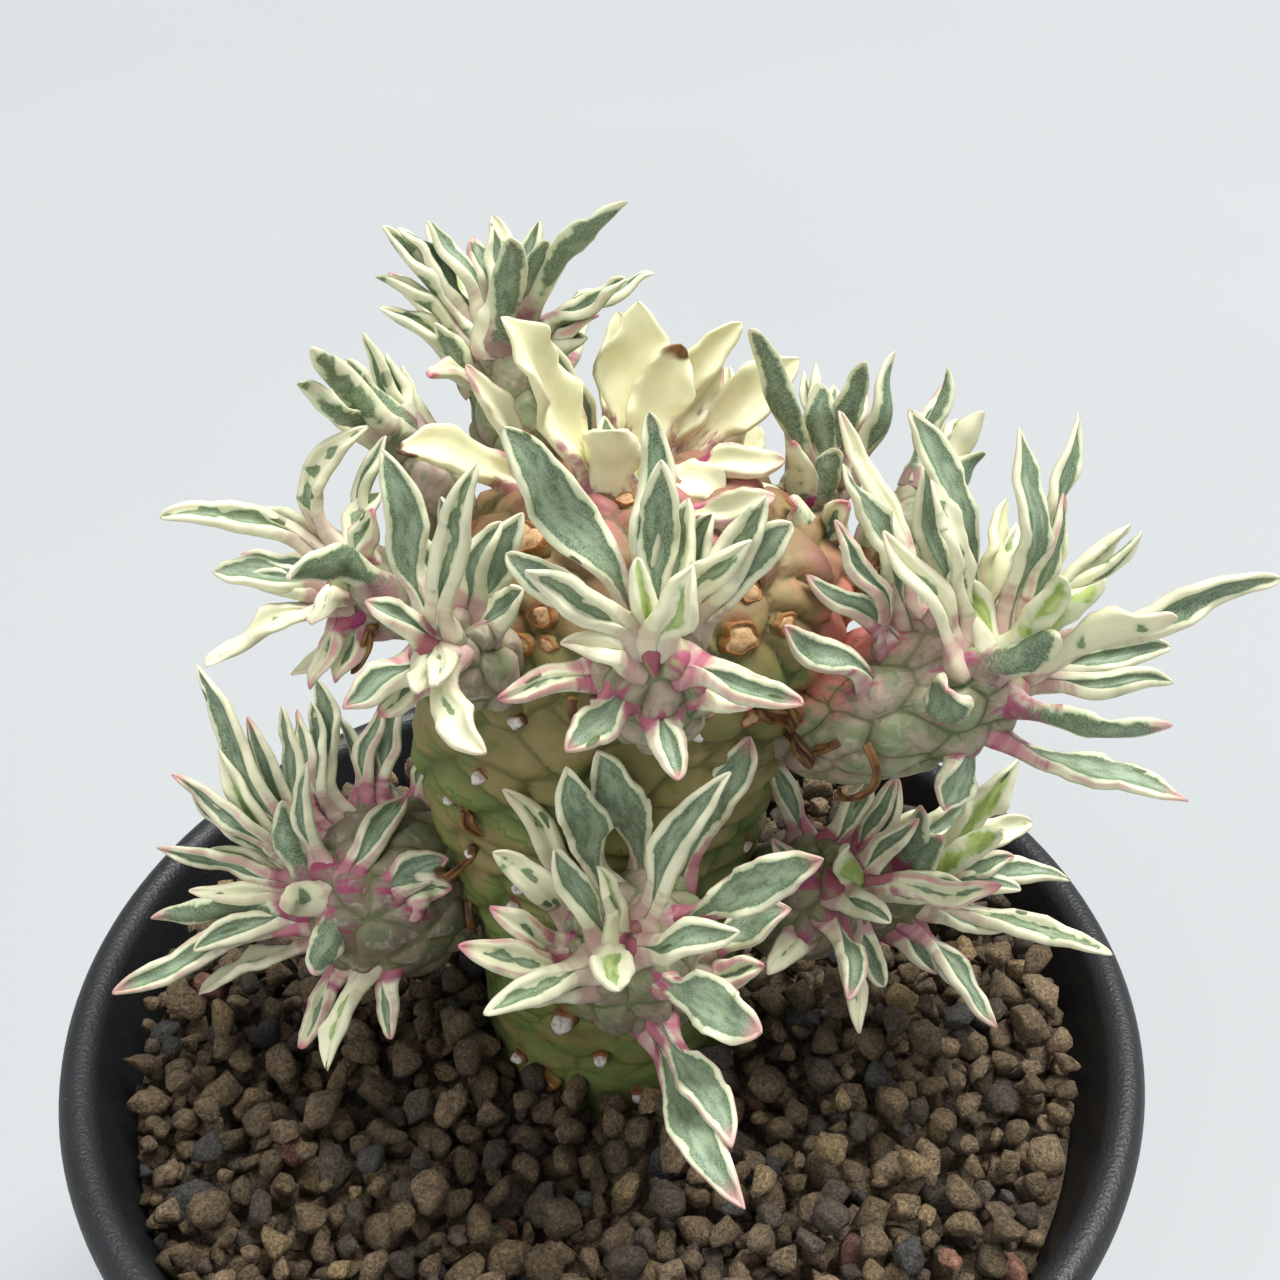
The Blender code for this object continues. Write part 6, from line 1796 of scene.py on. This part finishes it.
def coral_skin(tree, skin, place, noise):
    """The skin with a coral flush, in streaks and patches, where the right branch leaves the crown."""
    away = add(tree, "VectorMath", {0: place, 1: Vector(CORAL_MIDDLE) * METRE}, operation="DISTANCE")["Value"]
    ragged = add(tree, "Math", {0: noise, 1: CORAL_RAGS * METRE, 2: away}, **TIMES_PLUS)[0]
    return layered(tree, skin, ((ragged, CORAL_FULL * METRE, CORAL_END * METRE, 0.8, 0.0, CORAL),))


def knob_fields(tree):
    """What a knobbly skin reads: the point's signed distance from the nearest crease, its flush and its
    height, which are kept together, and its plain distance from that crease."""
    both = add(tree, "Attribute", attribute_name="knob")
    return add(tree, "SeparateColor", {0: both["Color"]}), both["Alpha"]


def head_bark():
    """Young green skin over rounded knobs: mauve-grey on their backs, with a painted shade on their flanks
    towards the creases, dark green in the creases between them, flushed magenta below each leaf's root,
    and a painted shade, darker and browner, on the heads low down."""
    material, tree, shader = new_material(
        "young_knobbly_skin", IOR=1.42, Subsurface_Weight=0.10, Subsurface_Scale=FLESH_DEPTH)
    knob, apart = knob_fields(tree)
    own = add(tree, "Attribute", attribute_name="grain")["Vector"]
    drawn = add(tree, "VectorMath", {0: own, 1: (1.0, 0.22, 1.0)}, **TIMES)[0]
    streaks = add(tree, "TexNoise", {"Vector": drawn, "Scale": 2.4, "Detail": 3.0})[0]
    place = add(tree, "TexCoord")["Object"]
    broad = add(tree, "TexNoise", {"Vector": place, "Scale": PER_METRE / 6.0, "Detail": 3.0})[0]
    fine = add(tree, "TexNoise", {"Vector": place, "Scale": PER_METRE / 0.7, "Detail": 4.0})[0]
    swirl = {"Scale": PER_METRE / 1.9, "Detail": 3.0, "Distortion": 1.2}
    marble = add(tree, "TexNoise", {"Vector": place, **swirl})[0]
    height = add(tree, "SeparateXYZ", {0: place})[2]
    flush = add(tree, "Math", {0: streaks, 1: 2.6, 2: -1.65}, **TIMES_PLUS)[0]
    flush = add(tree, "Math", {0: flush, 1: knob[1]})[0]
    skin = layered(tree, linear(BODY_MAUVE), (
        (broad, 0.42, 0.60, 0.0, 1.0, BODY_GREEN),
        (marble, 0.54, 0.64, 0.0, 0.5, BODY_VEIN),
        (knob[2], 0.80, 0.98, 0.0, 0.75, YOUNG_PALE),
        # painted shade: the heads low down darken towards an olive brown, fading out by the upper height
        (height, HEAD_SHADE_FULL_BELOW * METRE, HEAD_SHADE_GONE_ABOVE * METRE, 0.72, 0.0, BODY_LOW_SHADE),
        (marble, 0.46, 0.32, 0.0, 0.36, BODY_PALE),
        # painted shade: each knob's flanks darken towards its creases
        (apart, 0.2, 1.6, 0.5, 0.0, BODY_FLANK_SHADE),
        (flush, -0.10, 0.75, 0.0, 0.85, STALK_PINK),
    ))
    skin = coral_skin(tree, skin, place, marble)
    edge = add(tree, "Math", {0: knob[0]}, operation="ABSOLUTE")[0]
    crease = add(tree, "MapRange", {0: edge, 1: 0.06, 2: 0.36, 3: 1.0, 4: 0.0}, **SMOOTH)[0]
    close = add(tree, "MapRange", {0: apart, 1: 0.6, 2: 1.2, 3: 1.0, 4: 0.0})[0]
    faint = add(tree, "MapRange", {0: broad, 1: 0.40, 2: 0.62, 3: 0.45, 4: 0.9})[0]
    for factor in (close, faint):
        crease = add(tree, "Math", {0: crease, 1: factor}, **TIMES)[0]
    skin = add(tree, "Mix", {0: crease, 6: skin, 7: linear(CREASE_GREEN)}, **COLOURS)[2]
    finish_skin(tree, shader, skin, fine, (0.48, 0.68), fine, 0.4, 0.15)
    return material


def trunk_bark():
    """Old green skin over lens-shaped scales: olive-beige on their backs, green low down, in patches and
    in stripes along the creases, peach towards the crown, pale in patches of painted highlight, with a
    thin dark line in each crease."""
    material, tree, shader = new_material(
        "old_scaly_skin", IOR=1.42, Subsurface_Weight=0.05, Subsurface_Scale=FLESH_DEPTH)
    knob, apart = knob_fields(tree)
    place = add(tree, "TexCoord")["Object"]
    flat = add(tree, "VectorMath", {0: place, 1: (0.8, 0.8, 1.25)}, **TIMES)[0]
    broad = add(tree, "TexNoise", {"Vector": flat, "Scale": PER_METRE / 9.0, "Detail": 4.0})[0]
    patches = add(tree, "TexNoise", {"Vector": flat, "Scale": PER_METRE / 3.4, "Detail": 3.0})[0]
    fine = add(tree, "TexNoise", {"Vector": place, "Scale": PER_METRE / 0.8, "Detail": 4.0})[0]
    low = add(tree, "MapRange", {0: knob[2], 1: 0.02, 2: 0.5, 3: 0.20, 4: -0.06})[0]
    mossy = add(tree, "Math", {0: broad, 1: low})[0]
    skin = layered(tree, linear(TRUNK_OLIVE), (
        (mossy, 0.46, 0.64, 0.0, 1.0, TRUNK_GREEN),
        (patches, 0.60, 0.70, 0.0, 0.7, TRUNK_MOSS),
    ))
    high = add(tree, "MapRange", {0: knob[2], 1: 0.80, 2: 0.97}, **SMOOTH)[0]
    peach = add(tree, "Mix", {0: patches, 6: linear(TRUNK_PEACH), 7: linear(TRUNK_ROSE)}, **COLOURS)[2]
    skin = add(tree, "Mix", {0: high, 6: skin, 7: peach}, **COLOURS)[2]
    # painted highlight: pale patches laid at random by the noise
    pale = add(tree, "MapRange", {0: patches, 1: 0.35, 2: 0.52, 3: 0.45, 4: 0.0})[0]
    skin = add(tree, "Mix", {0: pale, 6: skin, 7: linear(TRUNK_HIGHLIGHT)}, **COLOURS)[2]

    edge = add(tree, "Math", {0: knob[0]}, operation="ABSOLUTE")[0]
    stripe = add(tree, "MapRange", {0: edge, 1: 0.4, 2: 2.4, 3: 1.0, 4: 0.0}, **SMOOTH)[0]
    patchy = add(tree, "MapRange", {0: broad, 1: 0.47, 2: 0.56, 3: 0.0, 4: 0.8}, **SMOOTH)[0]
    below = add(tree, "MapRange", {0: knob[2], 1: 0.70, 2: 0.90, 3: 1.0, 4: 0.0})[0]
    for factor in (patchy, below):
        stripe = add(tree, "Math", {0: stripe, 1: factor}, **TIMES)[0]
    skin = add(tree, "Mix", {0: stripe, 6: skin, 7: linear(TRUNK_MOSS)}, **COLOURS)[2]

    mark = add(tree, "SeparateXYZ", {0: add(tree, "Attribute", attribute_name="mark")["Vector"]})
    flush = add(tree, "Math", {0: knob[1], 1: mark[1]}, **LARGER)[0]
    flush = add(tree, "Math", {0: flush, 1: patches}, **TIMES)[0]
    flush = add(tree, "MapRange", {0: flush, 1: 0.1, 2: 0.55, 3: 0.0, 4: 0.6})[0]
    skin = add(tree, "Mix", {0: flush, 6: skin, 7: linear(ROOT_CORAL)}, **COLOURS)[2]
    skin = coral_skin(tree, skin, place, patches)
    stain = add(tree, "Math", {0: patches, 1: 1.0, 2: -0.5}, **TIMES_PLUS)[0]
    stain = add(tree, "Math", {0: stain, 1: mark[0]})[0]
    skin = layered(tree, skin, ((stain, 0.25, 0.75, 0.0, 0.75, SCAR_BROWN),))
    crease = add(tree, "MapRange", {0: edge, 1: 0.05, 2: 0.8, 3: 0.5, 4: 0.0}, **SMOOTH)[0]
    close = add(tree, "MapRange", {0: apart, 1: 0.7, 2: 1.3, 3: 1.0, 4: 0.0})[0]
    crease = add(tree, "Math", {0: crease, 1: close}, **TIMES)[0]
    skin = add(tree, "Mix", {0: crease, 6: skin, 7: linear(TRUNK_CREASE)}, **COLOURS)[2]
    finish_skin(tree, shader, skin, fine, (0.52, 0.72), fine, 0.45, 0.2)
    return material


def cork():
    """Cork of old leaf scars: a pale dry knob in a brown ring, or an orange-brown wound."""
    material, tree, shader = new_material("corky_scar", IOR=1.45)
    cup = add(tree, "SeparateXYZ", {0: add(tree, "Attribute", attribute_name="cup")["Vector"]})
    place = add(tree, "TexCoord")["Object"]
    fine = add(tree, "TexNoise", {"Vector": place, "Scale": PER_METRE / 0.5, "Detail": 3.0})[0]
    from_middle = add(tree, "Math", {0: cup[1], 1: -0.10, 2: cup[0]}, **TIMES_PLUS)[0]
    ring = add(tree, "MapRange", {0: from_middle, 1: 0.70, 2: 0.80}, **SMOOTH)[0]
    knob = add(tree, "Mix", {0: cup[1], 6: linear(SCAR_PALE), 7: linear(SCAR_TAN)}, **COLOURS)[2]
    rim = add(tree, "Mix", {0: cup[1], 6: linear(SCAR_BROWN), 7: linear(SCAR_ORANGE)}, **COLOURS)[2]
    skin = add(tree, "Mix", {0: ring, 6: knob, 7: rim}, **COLOURS)[2]
    worn = add(tree, "MapRange", {0: fine, 1: 0.46, 2: 0.72, 3: 0.0, 4: 0.6})[0]
    skin = add(tree, "Mix", {0: worn, 6: skin, 7: linear(SCAR_DARK)}, **COLOURS)[2]
    skin = layered(tree, skin, ((from_middle, 0.96, 1.12, 0.0, 1.0, TRUNK_OLIVE),))
    finish_skin(tree, shader, skin, fine, (0.55, 0.85), fine, 0.6, 0.2)
    return material


def porous_grit():
    """Dry volcanic grit, crushed and sieved: dull brown grains, some tan, dark grey or reddish, each
    crumbly and pitted with fine pores, which are darkened by a painted shade."""
    material, tree, shader = new_material("porous_grit", IOR=1.5, Roughness=0.92)
    kind = add(tree, "SeparateColor", {0: add(tree, "Attribute", attribute_name="tint")["Color"]})
    place = add(tree, "TexCoord")["Object"]
    broken = {"Scale": PER_METRE / 0.9, "Detail": 5.0, "Roughness": 0.65}
    crumbly = {"Scale": PER_METRE / 0.38, "Detail": 4.0, "Roughness": 0.75}
    fine, rough = (add(tree, "TexNoise", {"Vector": place, **grain})[0] for grain in (broken, crumbly))
    pitted = {"Scale": PER_METRE / 0.6, "Randomness": 1.0}
    pores = add(tree, "TexVoronoi", {"Vector": place, **pitted})["Distance"]
    ramp = tree.nodes.new("ShaderNodeValToRGB")
    ramp.color_ramp.interpolation = "CONSTANT"
    stops = ramp.color_ramp.elements
    stops[0].position, stops[0].color = GRIT_SHARES[0], linear(GRIT_COLOURS[0])
    stops[1].position, stops[1].color = GRIT_SHARES[1], linear(GRIT_COLOURS[1])
    for share, colour in zip(GRIT_SHARES[2:], GRIT_COLOURS[2:]):
        stops.new(share).color = linear(colour)
    tree.links.new(kind[0], ramp.inputs[0])
    light = add(tree, "MapRange", {0: kind[1], 3: 0.70, 4: 1.30})[0]
    patch = add(tree, "MapRange", {0: fine, 1: NOISE_LOW, 2: NOISE_HIGH, 3: 0.58, 4: 1.40})[0]
    crumb = add(tree, "MapRange", {0: rough, 1: 0.36, 2: 0.64, 3: 0.45, 4: 1.50})[0]
    # painted shade: the pores are darker, in the pits that the bump cuts
    pit_and_shade = add(tree, "MapRange", {0: pores, 1: 0.02, 2: 0.22, 3: 0.45, 4: 1.0}, **SMOOTH)[0]
    for factor in (patch, crumb, pit_and_shade):
        light = add(tree, "Math", {0: light, 1: factor}, **TIMES)[0]
    skin = add(tree, "VectorMath", {0: ramp.outputs[0], "Scale": light}, operation="SCALE")[0]
    height = add(tree, "Math", {0: rough, 1: 1.6, 2: pit_and_shade}, **TIMES_PLUS)[0]
    height = add(tree, "Math", {0: height, 1: fine})[0]
    bump = add(tree, "Bump", {"Strength": 1.0, "Distance": PORE_DEPTH * METRE, "Height": height})[0]
    tree.links.new(skin, shader.inputs["Base Color"])
    tree.links.new(bump, shader.inputs["Normal"])
    return material


def moulded_plastic():
    """Injection-moulded polypropylene, charcoal black with a fine pebbled grain that breaks its sheen,
    and a little pale dust in the grain."""
    material, tree, shader = new_material("moulded_polypropylene", IOR=1.49)
    place = add(tree, "TexCoord")["Object"]
    grain = add(tree, "TexNoise", {"Vector": place, "Scale": PER_METRE / 0.45, "Detail": 2.0})[0]
    dusty = {"Scale": PER_METRE / 0.8, "Detail": 4.0, "Roughness": 0.7}
    dust = add(tree, "TexNoise", {"Vector": place, **dusty})[0]
    broad = add(tree, "TexNoise", {"Vector": place, "Scale": PER_METRE / 30.0, "Detail": 3.0})[0]
    skin = add(tree, "Mix", {0: broad, 6: linear(PLASTIC_BLACK), 7: linear(PLASTIC_GREY)}, **COLOURS)[2]
    skin = layered(tree, skin, ((dust, 0.66, 0.76, 0.0, 0.5, PLASTIC_DUST),))
    finish_skin(tree, shader, skin, broad, (0.42, 0.56), grain, 0.55, 0.25)
    return material


# Floor, light and view
FLOOR_SIDE = 40.0
# How far the floor lies under the pot, so that their faces don't fight
FLOOR_DROP = 0.2
FLOOR_CLOUDS = 3.0
SKY_WHITE = "#eef1f4"
SKY_STRENGTH = 0.33
# Each lamp's name, where it shines from, the breadth of its disc in degrees and its strength
LAMPS = (
    ("window", (0.25, 0.12, 0.82), 34, 5.1),
    ("fill", (-0.45, -0.60, 0.57), 50, 1.15),
)


def make_floor():
    """A plain pale floor, faintly clouded, far wider than the picture."""
    bpy.ops.mesh.primitive_plane_add(size=FLOOR_SIDE, location=(0, 0, -FLOOR_DROP * METRE))
    floor = bpy.context.object
    floor.name = "floor"
    material, tree, shader = new_material("pale_board", Roughness=0.65)
    place = add(tree, "TexCoord")["Object"]
    cloud = add(tree, "TexNoise", {"Vector": place, "Scale": FLOOR_CLOUDS, "Detail": 2.0})[0]
    tone = add(tree, "Mix", {0: cloud, 6: linear(FLOOR_PALE), 7: linear(FLOOR_SHADE)}, **COLOURS)[2]
    tree.links.new(tone, shader.inputs["Base Color"])
    floor.data.materials.append(material)


def make_light():
    """Soft light from a pale room, a broad window above the plant and a weaker one before it."""
    world = bpy.data.worlds.new("soft_room")
    world.use_nodes = True
    background = world.node_tree.nodes["Background"]
    background.inputs["Color"].default_value = linear(SKY_WHITE)
    background.inputs["Strength"].default_value = SKY_STRENGTH
    bpy.context.scene.world = world
    for name, place, spread, strength in LAMPS:
        light = bpy.data.lights.new(name, "SUN")
        light.angle, light.energy = math.radians(spread), strength
        lamp = bpy.data.objects.new(name, light)
        bpy.context.scene.collection.objects.link(lamp)
        lamp.location = place
        down = math.atan2(math.hypot(place[0], place[1]), place[2])
        lamp.rotation_euler = (down, 0, math.atan2(-place[1], -place[0]) - math.pi / 2)


def make_camera():
    """The photograph's point of view."""
    camera = bpy.data.cameras.new("camera")
    camera.sensor_fit = "HORIZONTAL"
    camera.angle = math.radians(VIEW_ANGLE)
    camera.clip_start = 0.01
    viewer = bpy.data.objects.new("camera", camera)
    bpy.context.scene.collection.objects.link(viewer)
    viewer.location = EYE * METRE
    viewer.rotation_euler = (math.radians(90 - VIEW_DOWN), 0, 0)
    bpy.context.scene.camera = viewer
    bpy.context.scene.view_settings.view_transform = "Standard"


make_pot()
make_grit()
make_plant()
make_floor()
make_light()
make_camera()
bpy.context.view_layer.update()
